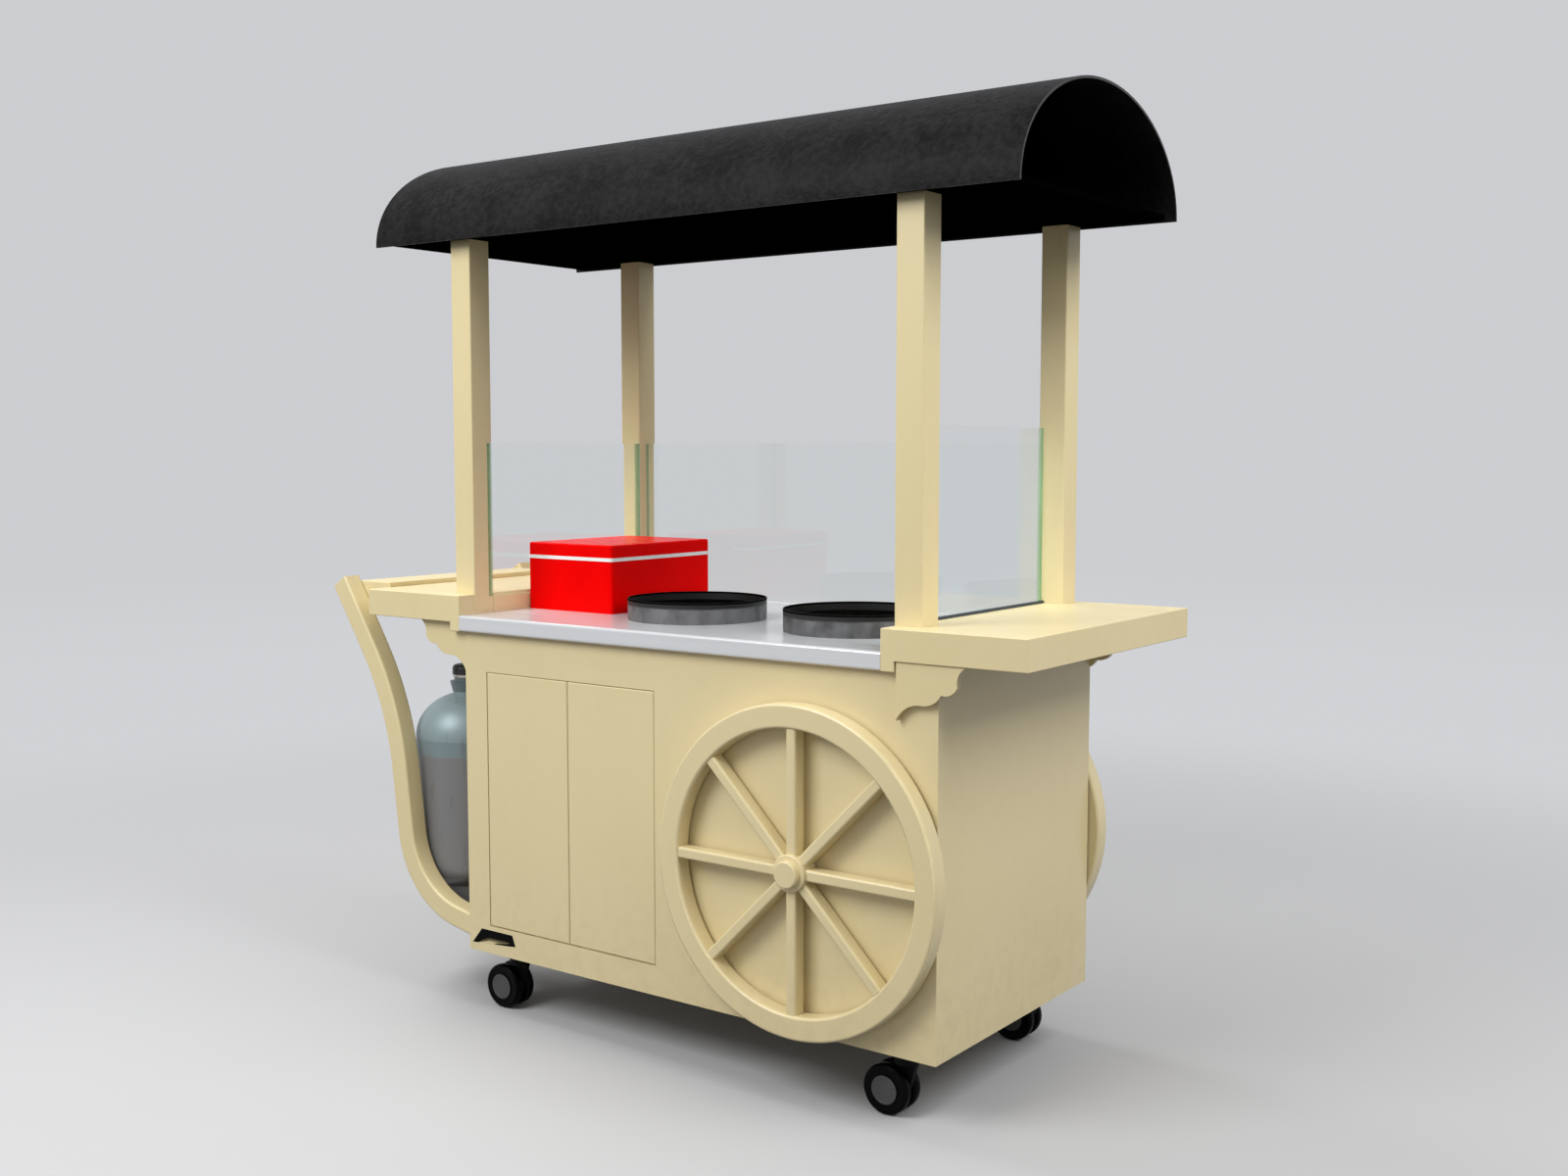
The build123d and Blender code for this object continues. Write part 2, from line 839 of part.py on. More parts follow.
# Cart wheels: rim, spokes coped to rim and hub, and a hub that turns on a flanged stub axle
rim_inner = wheel_radius - rim_width
spoke_setback = wheel_standoff + (rim_thickness - spoke_depth) / 2
hub_back = axle_flange_thickness + swing_gap
axle_planes = {
    "front": Plane((wheel_x, cabinet_front, wheel_height), x_dir=(1, 0, 0), z_dir=(0, -1, 0)),
    "back": Plane((wheel_x, cabinet_back, wheel_height), x_dir=(1, 0, 0), z_dir=(0, 1, 0)),
}
for face, axle_plane in axle_planes.items():
    with BuildPart() as rim:
        with BuildSketch(axle_plane.offset(wheel_standoff)):
            Circle(wheel_radius)
            Circle(rim_inner, mode=Mode.SUBTRACT)
        extrude(amount=rim_thickness)
        fillet(rim.edges(), radius=rim_edge_radius)
    save(rim, f"{face}_wheel_rim")

    with BuildPart() as spokes:
        with BuildSketch(axle_plane.offset(spoke_setback)):
            with PolarLocations(wheel_radius / 2, spoke_count):
                Rectangle(wheel_radius, spoke_width)
            Circle(rim_inner - glue_line, mode=Mode.INTERSECT)
            Circle(hub_radius + glue_line, mode=Mode.SUBTRACT)
        extrude(amount=spoke_depth)
        long_edges = [edge for edge in spokes.edges().filter_by(GeomType.LINE) if edge.length > hub_radius]
        fillet(long_edges, radius=spoke_edge_radius)
    save(spokes, f"{face}_wheel_spokes")

    with BuildPart() as hub:
        rod(axle_plane.offset(hub_back), hub_radius, hub_reach - hub_back)
        fillet(nearest_circle(hub, axle_plane.offset(hub_reach)), radius=hub_edge_radius)
        rod(axle_plane.offset(hub_reach), cap_radius, cap_reach - hub_reach)
        fillet(nearest_circle(hub, axle_plane.offset(cap_reach)), radius=cap_edge_radius)
        rod(
            axle_plane.offset(hub_back),
            axle_radius + running_fit,
            axle_length + swing_gap - hub_back,
            mode=Mode.SUBTRACT,
        )
    save(hub, f"{face}_wheel_hub")

with BuildPart() as wheel_axles:
    for axle_plane in axle_planes.values():
        rod(axle_plane.offset(-panel_thickness), axle_radius, panel_thickness + axle_length)
        rod(axle_plane, axle_flange_radius, axle_flange_thickness)
save(wheel_axles, "wheel_axles")

# Casters: plates with king pins, swivelling yokes and twin wheels that trail behind the king pin
king_pins = {
    "front_left": (cabinet_left + caster_inset, cabinet_front + caster_track_inset),
    "front_right": (cabinet_right - caster_inset, cabinet_front + caster_track_inset),
    "back_left": (cabinet_left + caster_inset, cabinet_back - caster_track_inset),
    "back_right": (cabinet_right - caster_inset, cabinet_back - caster_track_inset),
}
plate_bottom = cabinet_bottom - caster_plate_thickness
head_top = plate_bottom - seat_gap
head_bottom = head_top - caster_head_height
wheel_inner = caster_web_width / 2 + caster_side_gap

with BuildPart() as caster_plates:
    for x, y in king_pins.values():
        with Locations((x, y, plate_bottom)):
            Box(
                caster_plate_size,
                caster_plate_size,
                caster_plate_thickness,
                align=(Align.CENTER, Align.CENTER, Align.MIN),
            )
        rod(Plane((x, y, plate_bottom - king_pin_length)), king_pin_radius, king_pin_length)
save(caster_plates, "caster_plates")

for corner, (x, y) in king_pins.items():
    axle_centre = (x - caster_trail, caster_wheel_radius)
    axle_half = wheel_inner + caster_axle_grip
    with BuildPart() as yoke:
        with BuildSketch(facing_front(y + caster_web_width / 2)):
            with Locations(axle_centre):
                Circle(caster_web_radius)
            with Locations((x, head_bottom)):
                Rectangle(2 * caster_head_radius, glue_line, align=(Align.CENTER, Align.MIN))
            make_hull()
        extrude(amount=caster_web_width)
        rod(Plane((x, y, head_bottom)), caster_head_radius, caster_head_height)
        rod(
            towards_front((axle_centre[0], y + axle_half, axle_centre[1])),
            caster_axle_radius,
            2 * axle_half,
        )
        rod(
            Plane((x, y, plate_bottom - king_pin_length - swing_gap)),
            king_pin_radius + running_fit,
            king_pin_length + swing_gap,
            mode=Mode.SUBTRACT,
        )
    save(yoke, f"{corner}_caster_yoke")

    with BuildPart() as twin_wheels:
        for side in (-1, 1):
            inner_face = Plane(
                (axle_centre[0], y + side * wheel_inner, axle_centre[1]),
                x_dir=(1, 0, 0),
                z_dir=(0, side, 0),
            )
            with BuildSketch(inner_face):
                Circle(caster_wheel_radius)
            tyre = extrude(amount=caster_wheel_width)
            fillet(tyre.edges().filter_by(GeomType.CIRCLE), radius=caster_tyre_round)
            rod(inner_face.offset(caster_wheel_width), caster_hub_radius, caster_hub_step)
            rod(
                inner_face,
                caster_axle_radius + running_fit,
                caster_axle_grip + swing_gap,
                mode=Mode.SUBTRACT,
            )
    save(twin_wheels, f"{corner}_caster_wheels")

# Cool box: walled body, seal and lid on a pinned hinge along the back
box_left = cabinet_left + cool_box_margin
box_right = box_left + cool_box_length
box_front = cabinet_front + cool_box_setback
box_back = box_front + cool_box_depth
body_top = worktop_height + cool_box_body_height
seal_top = body_top + cool_box_seal_height
lid_bottom = seal_top + seat_gap
lid_top = seal_top + cool_box_lid_height
hinge_y = box_back + lid_hinge_setback
hinge_z = seal_top - lid_hinge_drop
knuckle_pitch = lid_knuckle_length + lid_knuckle_gap
hinge_length = lid_knuckle_count * knuckle_pitch - lid_knuckle_gap
hinge_left = (box_left + box_right - hinge_length) / 2


def knuckles(first, web_front, web_bottom, web_top):
    """Every second knuckle of the hinge, each with a web that ties it to the box's back."""
    for index in range(first, lid_knuckle_count, 2):
        start = hinge_left + index * knuckle_pitch
        rod(along_cart((start, hinge_y, hinge_z)), lid_hinge_radius, lid_knuckle_length)
        block((start, web_front, web_bottom), (start + lid_knuckle_length, hinge_y, web_top))


def hinge_rod(radius, mode=Mode.ADD):
    """Round bar or bore along the whole hinge."""
    rod(along_cart((hinge_left, hinge_y, hinge_z)), radius, hinge_length, mode=mode)


with BuildPart() as cool_box_body:
    block((box_left, box_front, worktop_height), (box_right, box_back, body_top))
    fillet(cool_box_body.edges().filter_by(Axis.Z), radius=cool_box_edge_radius)
    block(
        (box_left + cool_box_wall, box_front + cool_box_wall, worktop_height + cool_box_wall),
        (box_right - cool_box_wall, box_back - cool_box_wall, body_top),
        mode=Mode.SUBTRACT,
    )
    knuckles(0, box_back - cool_box_edge_radius, body_top - lid_web_height, body_top)
    hinge_rod(lid_pin_radius + tight_fit, mode=Mode.SUBTRACT)
save(cool_box_body, "cool_box_body")

with BuildPart() as cool_box_seal:
    seal_corner = (box_left - cool_box_seal_overhang, box_front - cool_box_seal_overhang, body_top)
    block(seal_corner, (box_right + cool_box_seal_overhang, box_back - cool_box_seal_overhang, seal_top))
    fillet(cool_box_seal.edges().filter_by(Axis.Z), radius=cool_box_edge_radius)
    block(
        (box_left + cool_box_wall, box_front + cool_box_wall, body_top),
        (box_right - cool_box_wall, box_back - cool_box_wall, seal_top),
        mode=Mode.SUBTRACT,
    )
save(cool_box_seal, "cool_box_seal")

with BuildPart() as cool_box_lid:
    block((box_left, box_front, lid_bottom), (box_right, box_back, lid_top))
    fillet(cool_box_lid.edges().filter_by(Axis.Z), radius=cool_box_edge_radius)
    fillet(cool_box_lid.edges().group_by(Axis.Z)[-1], radius=cool_box_lid_edge_radius)
    knuckles(1, box_back, hinge_z, lid_bottom + lid_web_height)
    hinge_rod(lid_pin_radius + running_fit, mode=Mode.SUBTRACT)
save(cool_box_lid, "cool_box_lid")

with BuildPart() as cool_box_hinge_pin:
    hinge_rod(lid_pin_radius)
save(cool_box_hinge_pin, "cool_box_hinge_pin")

# Griddles: a drum with a ledge, the plate on it and a burner that hangs in the cut-out by its arms
ledge_top = worktop_height + griddle_ledge_height
drum_bore = griddle_radius - griddle_wall
burner_bottom = worktop_height - burner_sink


def discs(height, radius, thickness, mode=Mode.ADD):
    """Round plate at each griddle's place, upwards from a height."""
    for x, y in griddle_centres:
        rod(Plane((x, y, height)), radius, thickness, mode=mode)


with BuildPart() as griddle_rings:
    discs(worktop_height, griddle_radius, griddle_height)
    discs(ledge_top, drum_bore, griddle_height - griddle_ledge_height, mode=Mode.SUBTRACT)
    discs(worktop_height, drum_bore, griddle_ledge_height - griddle_ledge_thickness, mode=Mode.SUBTRACT)
    discs(worktop_height, drum_bore - griddle_ledge_width, griddle_ledge_height, mode=Mode.SUBTRACT)
save(griddle_rings, "griddle_rings")

with BuildPart() as griddle_plates:
    discs(ledge_top, drum_bore - seat_gap, griddle_plate_thickness)
save(griddle_plates, "griddle_plates")

with BuildPart() as burners:
    for x, y in griddle_centres:
        with BuildSketch(Plane((x, y, worktop_height))):
            with PolarLocations(burner_arm_reach / 2, burner_arm_count):
                Rectangle(burner_arm_reach, burner_arm_width)
        extrude(amount=burner_arm_thickness)
    discs(burner_bottom, burner_radius, burner_height)
    discs(
        burner_bottom + burner_height - burner_well_depth,
        burner_well_radius,
        burner_well_depth,
        mode=Mode.SUBTRACT,
    )
    discs(burner_bottom - mixing_tube_length, mixing_tube_radius, mixing_tube_length)
save(burners, "burners")

# Gas manifold: inlet through the left end, two taps behind the doors and a supply pipe to each burner
tap_front = manifold_y - tap_body_length
knob_back = tap_front - seat_gap
spindle_end = knob_back - tap_knob_bore_depth + swing_gap
supply_rows = (griddle_y, griddle_y + supply_step)
tap_centres = [cabinet_left + x for x in (left_griddle_tap_place, right_griddle_tap_place)]

with BuildPart() as gas_manifold:
    rod(along_cart((cabinet_left, manifold_y, manifold_height)), manifold_radius, manifold_length)
    with BuildSketch(along_cart((cabinet_left - inlet_nut_length, manifold_y, manifold_height))):
        RegularPolygon(inlet_nut_radius, 6)
    extrude(amount=inlet_nut_length)
    nipple_end = cabinet_left - inlet_nut_length - inlet_nipple_length
    rod(along_cart((nipple_end, manifold_y, manifold_height)), inlet_nipple_radius, inlet_nipple_length)
    for tap_x, row_y, (burner_x, burner_y) in zip(tap_centres, supply_rows, griddle_centres):
        rod(towards_front((tap_x, manifold_y, manifold_height)), tap_body_radius, tap_body_length)
        rod(
            towards_front((tap_x, tap_front, manifold_height)),
            tap_spindle_radius,
            tap_front - spindle_end,
        )
        route = [(tap_x, manifold_y), (tap_x, row_y), (burner_x, row_y), (burner_x, burner_y)]
        corners = [(x, y, manifold_height) for x, y in dict.fromkeys(route)]
        corners.append((burner_x, burner_y, burner_bottom - mixing_tube_length))
        with BuildLine() as supply_path:
            FilletPolyline(*corners, radius=supply_bend)
        with BuildSketch(Plane((tap_x, manifold_y, manifold_height), x_dir=(1, 0, 0), z_dir=(0, 1, 0))):
            Circle(supply_radius)
        sweep(path=supply_path.wires()[0])
save(gas_manifold, "gas_manifold")

for number, tap_x in enumerate(tap_centres, start=1):
    knob_plane = towards_front((tap_x, knob_back, manifold_height))
    with BuildPart() as tap_knob:
        with BuildSketch(knob_plane):
            Circle(tap_knob_radius)
            with PolarLocations(tap_knob_radius, tap_knob_grips):
                Circle(tap_knob_grip_radius, mode=Mode.SUBTRACT)
        extrude(amount=tap_knob_height)
        rod(knob_plane, tap_spindle_radius + running_fit, tap_knob_bore_depth, mode=Mode.SUBTRACT)
    save(tap_knob, f"tap_knob_{number}")
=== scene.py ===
"""Looks of the pancake cart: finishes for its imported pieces, modelled details and a studio stage."""
from math import hypot, pi, radians

import bmesh
import bpy
from bpy.props import FloatProperty, FloatVectorProperty, PointerProperty
from bpy.types import Operator, Panel, PropertyGroup
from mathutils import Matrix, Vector


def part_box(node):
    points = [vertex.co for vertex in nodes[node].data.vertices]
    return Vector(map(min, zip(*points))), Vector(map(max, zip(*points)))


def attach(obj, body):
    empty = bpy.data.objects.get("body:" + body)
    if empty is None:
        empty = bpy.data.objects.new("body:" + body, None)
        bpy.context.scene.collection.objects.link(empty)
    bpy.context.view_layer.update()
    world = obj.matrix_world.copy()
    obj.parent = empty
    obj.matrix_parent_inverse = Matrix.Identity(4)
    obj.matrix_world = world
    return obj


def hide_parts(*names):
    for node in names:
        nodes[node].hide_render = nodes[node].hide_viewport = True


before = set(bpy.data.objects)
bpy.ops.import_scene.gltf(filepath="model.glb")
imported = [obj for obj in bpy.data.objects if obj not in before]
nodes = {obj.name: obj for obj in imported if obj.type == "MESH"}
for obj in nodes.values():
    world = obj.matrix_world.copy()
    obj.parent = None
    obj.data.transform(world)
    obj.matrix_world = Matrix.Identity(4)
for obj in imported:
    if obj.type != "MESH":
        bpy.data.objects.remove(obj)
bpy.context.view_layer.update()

bl_info = {
    "name": "Pancake cart looks",
    "version": (1, 0, 0),
    "blender": (4, 5, 0),
    "location": "View3D > Sidebar > Pancake cart",
    "description": "Paints the packed pancake cart, models its small details and sets it in a studio",
    "category": "Object",
}

corners = ("front_left", "front_right", "back_left", "back_right")
# Points closer than this, in metres, count as one
tiny = 1e-5


# Choices that a user may change
def colour_choice(name, description, default):
    """Colour that a user may change, in linear light."""
    return FloatVectorProperty(
        name=name, description=description, default=default, subtype="COLOR", size=3, min=0.0, max=1.0
    )


def length_choice(name, description, default):
    """Length that a user may change, in metres."""
    return FloatProperty(name=name, description=description, default=default, unit="LENGTH", min=0.0)


def angle_choice(name, description, default):
    """Angle that a user may change, in radians."""
    return FloatProperty(name=name, description=description, default=default, subtype="ANGLE")


def power_choice(name, description, default):
    """Power of a lamp that a user may change, in watts."""
    return FloatProperty(name=name, description=description, default=default, unit="POWER", min=0.0)


class JoineryChoices(PropertyGroup):
    """Paint and edges of the cabinet, posts, shelves, shafts and cart wheels."""

    cream: colour_choice("Cream", "Colour of the paint", (0.745, 0.636, 0.368))
    deep_cream: colour_choice("Deep cream", "Paint where it has gone on thicker", (0.718, 0.605, 0.340))
    grime: colour_choice("Grime", "Road dust low on the cabinet", (0.36, 0.29, 0.18))
    plywood: colour_choice("Plywood", "Bare board under the metal worktop", (0.42, 0.27, 0.13))
    varnish: FloatProperty(
        name="Varnish",
        description="Clear coat on the panels, doors and cart wheels",
        default=0.45,
        subtype="FACTOR",
        min=0.0,
        max=1.0,
    )
    arris: length_choice("Arris", "Width of the softened edges of boards", 0.0016)


class MetalChoices(PropertyGroup):
    """Worktop, griddles, ironmongery and gas parts."""

    worktop: colour_choice("Worktop", "Stainless sheet of the worktop", (0.74, 0.755, 0.78))
    drum: colour_choice("Griddle drum", "Steel of the griddle drums", (0.15, 0.15, 0.154))
    iron: colour_choice("Iron", "Seasoned griddle plates and burners", (0.0014, 0.0014, 0.0012))
    zinc: colour_choice("Zinc", "Plated pins, plates, axles and bolts", (0.50, 0.51, 0.53))
    brass: colour_choice("Brass", "Gas manifold and taps", (0.61, 0.40, 0.13))
    ring: colour_choice("Ring", "Plated ring of the cylinder's valve", (0.62, 0.61, 0.58))
    worn_ring: colour_choice("Worn ring", "That ring where its plating is worn", (0.40, 0.39, 0.36))
    shoulder: colour_choice("Shoulder", "Cylinder paint above the colour line", (0.255, 0.335, 0.360))
    vessel: colour_choice("Vessel", "Cylinder paint below the colour line", (0.215, 0.215, 0.222))
    colour_line: length_choice("Colour line", "Height at which the cylinder's paint changes", 0.550)
    bead: length_choice("Bead", "Height of the rolled rim on each griddle drum", 0.0042)
    bolt_spacing: length_choice("Bolt spacing", "From bolt to bolt on a caster's plate", 0.060)


class PlasticChoices(PropertyGroup):
    """Canopy, casters, cool box, screens and black plastic or painted parts."""

    canopy: colour_choice("Canopy", "Grained skin of the canopy", (0.0036, 0.0036, 0.0038))
    canopy_bloom: colour_choice("Canopy bloom", "Paler patches in the skin", (0.0138, 0.0138, 0.0144))
    # Pale grey on the skin's cut ends: a painted highlight along the lit edge, not the sheet's own colour
    canopy_edge_highlight: colour_choice("Canopy edge", "Cut edge of the skin at its ends", (0.055, 0.055, 0.056))
    # Near-zero black: black paint darkened so the soffit and formers also stand in for painted shade under
    # the canopy
    board: colour_choice("Board", "Black paint of the soffit and formers", (0.0004, 0.0004, 0.0004))
    board_strokes: colour_choice("Board strokes", "Brush marks in that paint", (0.0010, 0.0010, 0.0010))
    tyre: colour_choice("Tyre", "Caster tyres", (0.0010, 0.0010, 0.0011))
    hub_disc: colour_choice("Hub disc", "Caps of the caster wheels", (0.066, 0.066, 0.069))
    moulding: colour_choice("Moulding", "Caster yokes", (0.0030, 0.0030, 0.0032))
    knob: colour_choice("Knob", "Black knobs and handwheel", (0.010, 0.010, 0.010))
    # Near-zero black with little shine: a black moulding that also stands in for painted shade inside the
    # vent
    vent: colour_choice("Vent", "Black hood of the vent", (0.002, 0.002, 0.002))
    tray: colour_choice("Tray", "Black paint of the cylinder's tray", (0.008, 0.008, 0.008))
    box_red: colour_choice("Box red", "Body and lid of the cool box", (0.80, 0.0010, 0.0010))
    band: colour_choice("Band", "White seal of the cool box", (0.84, 0.84, 0.84))
    glass: colour_choice("Glass", "Tint of the screens", (0.955, 0.985, 0.975))
    # Green of the screens' own narrow edges, also used for the painted reflection strips at their ends
    glass_edge_and_reflection: colour_choice("Glass edge", "Tint of the screens' narrow edges", (0.300, 0.560, 0.270))
    # Width of the painted reflection of the green edge along each upright end of a screen
    end_reflection_strip: length_choice("End strip", "Width of the green strip at the ends of a screen", 0.0145)
    gasket: colour_choice("Gasket", "Strip along the foot of the right screen", (0.030, 0.042, 0.052))
    gasket_width: length_choice("Gasket width", "Across the gasket", 0.005)
    gasket_height: length_choice("Gasket height", "Up from the shelf", 0.006)
    tyre_round: length_choice("Tyre round", "Radius of a caster tyre's shoulders", 0.007)


class StageChoices(PropertyGroup):
    """Camera, lamps, floor and backdrop."""

    eye: FloatVectorProperty(
        name="Eye", description="Camera's place", default=(2.2787, -2.8709, 1.2741), unit="LENGTH", size=3
    )
    turn: angle_choice("Turn", "Camera's heading", radians(36.218))
    tilt: angle_choice("Tilt", "Camera's dip below level", radians(4.847))
    lens: FloatProperty(name="Lens", description="Focal length", default=38.015, unit="CAMERA", min=1.0)
    sensor: FloatProperty(
        name="Sensor", description="Width of the sensor", default=36.0, unit="CAMERA", min=1.0
    )
    backdrop: colour_choice("Backdrop", "Tone of the studio round the cart", (0.605, 0.612, 0.632))
    floor: colour_choice("Floor", "Colour of the floor", (0.444, 0.448, 0.460))
    key: power_choice("Key", "Power of the lamp in front", 152.0)
    left: power_choice("Left", "Power of the lamp on the left", 116.0)
    right: power_choice("Right", "Power of the lamp on the right", 124.0)
    lamp_size: length_choice("Lamp size", "Width of each square lamp", 2.4)
    aim_height: length_choice("Aim height", "Height on the cart that the lamps point at", 0.9)
    fill: FloatProperty(name="Fill", description="Strength of the even light", default=0.57, min=0.0)
    fill_tint: colour_choice("Fill tint", "Tint of the even light", (1.0, 0.985, 0.96))
    floor_reach: length_choice("Floor reach", "Half width of the floor", 40.0)


# Shaders
class Signal:
    """One output of a shader node. Arithmetic on it adds Math nodes to its finish."""

    def __init__(self, finish, socket):
        self.finish = finish
        self.socket = socket

    def math(self, operation, *others):
        """Math node with this signal first."""
        return self.finish.node("Math", {"operation": operation}, dict(enumerate((self, *others))))

    def __add__(self, other):
        return self.math("ADD", other)

    def __sub__(self, other):
        return self.math("SUBTRACT", other)

    def __mul__(self, other):
        return self.math("MULTIPLY", other)

    def __rsub__(self, other):
        return self.math("MULTIPLY_ADD", -1.0, other)

    def __abs__(self):
        return self.math("ABSOLUTE")

    __radd__ = __add__
    __rmul__ = __mul__


class Finish:
    """A material or a world in the making, with one method that adds any shader node to it."""

    def __init__(self, name, world=False):
        self.made = bpy.data.worlds.new(name) if world else bpy.data.materials.new(name)
        self.made.use_nodes = True
        self.tree = self.made.node_tree
        self.tree.nodes.clear()
        self.ending = "OutputWorld" if world else "OutputMaterial"
        self.place = None if world else self.node("TexCoord", output="Object")

    def node(self, kind, settings=None, sockets=None, output=0):
        """Add a node: its settings first, then the values or links of its sockets. Gives one output."""
        made = self.tree.nodes.new("ShaderNode" + kind)
        for name, value in (settings or {}).items():
            setattr(made, name, value)
        for key, value in (sockets or {}).items():
            if isinstance(value, Signal):
                self.tree.links.new(value.socket, made.inputs[key])
            else:
                made.inputs[key].default_value = value
        return Signal(self, made.outputs[output]) if made.outputs else None

    def axis(self, letter, vector=None):
        """One coordinate of a vector, or of the point on the surface where no vector is given."""
        return self.node("SeparateXYZ", None, {"Vector": vector or self.place}, letter)

    def facing(self, letter):
        """1 where the surface faces along an axis, 0 where it lies along it."""
        return abs(self.axis(letter, self.node("TexCoord", output="Normal")))

    def stretched(self, scale):
        """Coordinates scaled along each axis."""
        return self.node("Mapping", None, {"Vector": self.place, "Scale": scale})

    def noise(self, scale, detail=3.0, roughness=0.5, vector=None):
        """Cloudy pattern from 0 to 1."""
        sockets = {"Vector": vector or self.place, "Scale": scale, "Detail": detail, "Roughness": roughness}
        return self.node("TexNoise", None, sockets)

    def grains(self, scale):
        """Pebbled pattern, 0 in the middle of each cell."""
        return self.node("TexVoronoi", None, {"Vector": self.place, "Scale": scale})

    def ease(self, value, low, high):
        """Soft step from 0 at low to 1 at high."""
        return self.node(
            "MapRange",
            {"interpolation_type": "SMOOTHSTEP"},
            {"Value": value, "From Min": low, "From Max": high},
        )

    def blend(self, first, second, amount):
        """Colour that goes from the first to the second."""
        sockets = {0: amount, 6: opaque(first), 7: opaque(second)}
        return self.node("Mix", {"data_type": "RGBA"}, sockets, 2)

    def bump(self, height, depth):
        """Relief of a given depth in metres."""
        return self.node("Bump", None, {"Height": height, "Distance": depth}, "Normal")

    def surface(self, **sockets):
        """Principled surface; a socket's name has underscores for spaces."""
        named = {key.replace("_", " "): opaque(value) for key, value in sockets.items()}
        return self.node("BsdfPrincipled", None, named)

    def looked_at(self):
        """1 for rays from the camera, off a glossy surface or through glass, 0 for all others."""
        rays = ("Is Camera Ray", "Is Glossy Ray", "Is Transmission Ray")
        seen, mirrored, through = [self.node("LightPath", output=ray) for ray in rays]
        return (seen + mirrored + through).math("MINIMUM", 1.0)

    def done(self, shader):
        """Close the material or world with its shader."""
        self.node(self.ending, None, {"Surface": shader})
        return self.made


def opaque(value):
    """Colour with full alpha, where three numbers stand for a colour."""
    if isinstance(value, (Signal, float, int)):
        return value
    return (*value, 1.0)


def scaled(colour, share):
    """Lighter or darker version of a colour."""
    return tuple(min(1.0, channel * share) for channel in colour)


def coat(material, *names):
    """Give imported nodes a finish."""
    for name in names:
        mesh = nodes[name].data
        mesh.materials.clear()
        mesh.materials.append(material)


def soften(width, *names):
    """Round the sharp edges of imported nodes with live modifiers."""
    for name in names:
        stack = nodes[name].modifiers
        weld = stack.new("weld", "WELD")
        weld.merge_threshold = tiny
        flat = stack.new("flat", "DECIMATE")
        flat.decimate_type = "DISSOLVE"
        flat.angle_limit = radians(0.2)
        arris = stack.new("arris", "BEVEL")
        arris.width = width
        arris.segments = 2
        arris.limit_method = "ANGLE"
        arris.angle_limit = radians(40)
        arris.harden_normals = True


# Pieces modelled here
def start_alone():
    """Leave edit mode and select nothing."""
    if bpy.context.object and bpy.context.object.mode != "OBJECT":
        bpy.ops.object.mode_set(mode="OBJECT")
    bpy.ops.object.select_all(action="DESELECT")


def pick_faces(wanted):
    """In edit mode, select only the faces whose middle and normal pass a test."""
    bpy.ops.mesh.select_mode(type="FACE")
    bpy.ops.mesh.select_all(action="DESELECT")
    mesh = bpy.context.object.data
    form = bmesh.from_edit_mesh(mesh)
    for face in form.faces:
        face.select_set(bool(wanted(face.calc_center_median(), face.normal)))
    form.select_flush_mode()
    bmesh.update_edit_mesh(mesh)


def pick_edges(wanted):
    """In edit mode, select only the edges whose two ends pass a test."""
    bpy.ops.mesh.select_mode(type="EDGE")
    bpy.ops.mesh.select_all(action="DESELECT")
    mesh = bpy.context.object.data
    form = bmesh.from_edit_mesh(mesh)
    for edge in form.edges:
        edge.select_set(bool(wanted(edge.verts[0].co, edge.verts[1].co)))
    form.select_flush_mode()
    bmesh.update_edit_mesh(mesh)


def copy_moved(piece, shift):
    """Copy a piece with a mesh of its own, moved by a shift."""
    start_alone()
    piece.select_set(True)
    bpy.context.view_layer.objects.active = piece
    bpy.ops.object.duplicate(linked=False)
    bpy.ops.transform.translate(value=shift)
    bpy.ops.object.transform_apply(location=True, rotation=False, scale=False)
    return bpy.context.object


def join_all(pieces):
    """Join pieces into the first one."""
    start_alone()
    for piece in pieces:
        piece.select_set(True)
    bpy.context.view_layer.objects.active = pieces[0]
    bpy.ops.object.join()
    return bpy.context.object


def settle(piece, name, body, slot_name, *replaced):
    """Name a finished piece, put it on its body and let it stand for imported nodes."""
    piece.name = name
    piece.data.name = name
    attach(piece, body)
    if replaced:
        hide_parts(*replaced)


# Joinery
def cream_finish(choices, name, dusty, varnish):
    """Satin paint rolled on board, with faint roller marks and some dust low down."""
    finish = Finish(name)
    clouds = finish.noise(2.3, 4.0)
    roller = finish.noise(420.0, 2.0)
    fine = finish.noise(38.0, 3.0)
    thick = finish.ease(clouds * 0.7 + fine * 0.3, 0.35, 0.75)
    colour = finish.blend(choices.cream, choices.deep_cream, thick)
    if dusty:
        low = 1.0 - finish.ease(finish.axis("Z"), 0.13, 0.42)
        colour = finish.blend(colour, choices.grime, low * finish.ease(fine, 0.35, 0.8) * 0.12)
    return finish.done(
        finish.surface(
            Base_Color=colour,
            Roughness=0.34 + fine * 0.08,
            Coat_Weight=varnish,
            Coat_Roughness=0.16,
            Normal=finish.bump(roller, 0.00010),
        )
    )


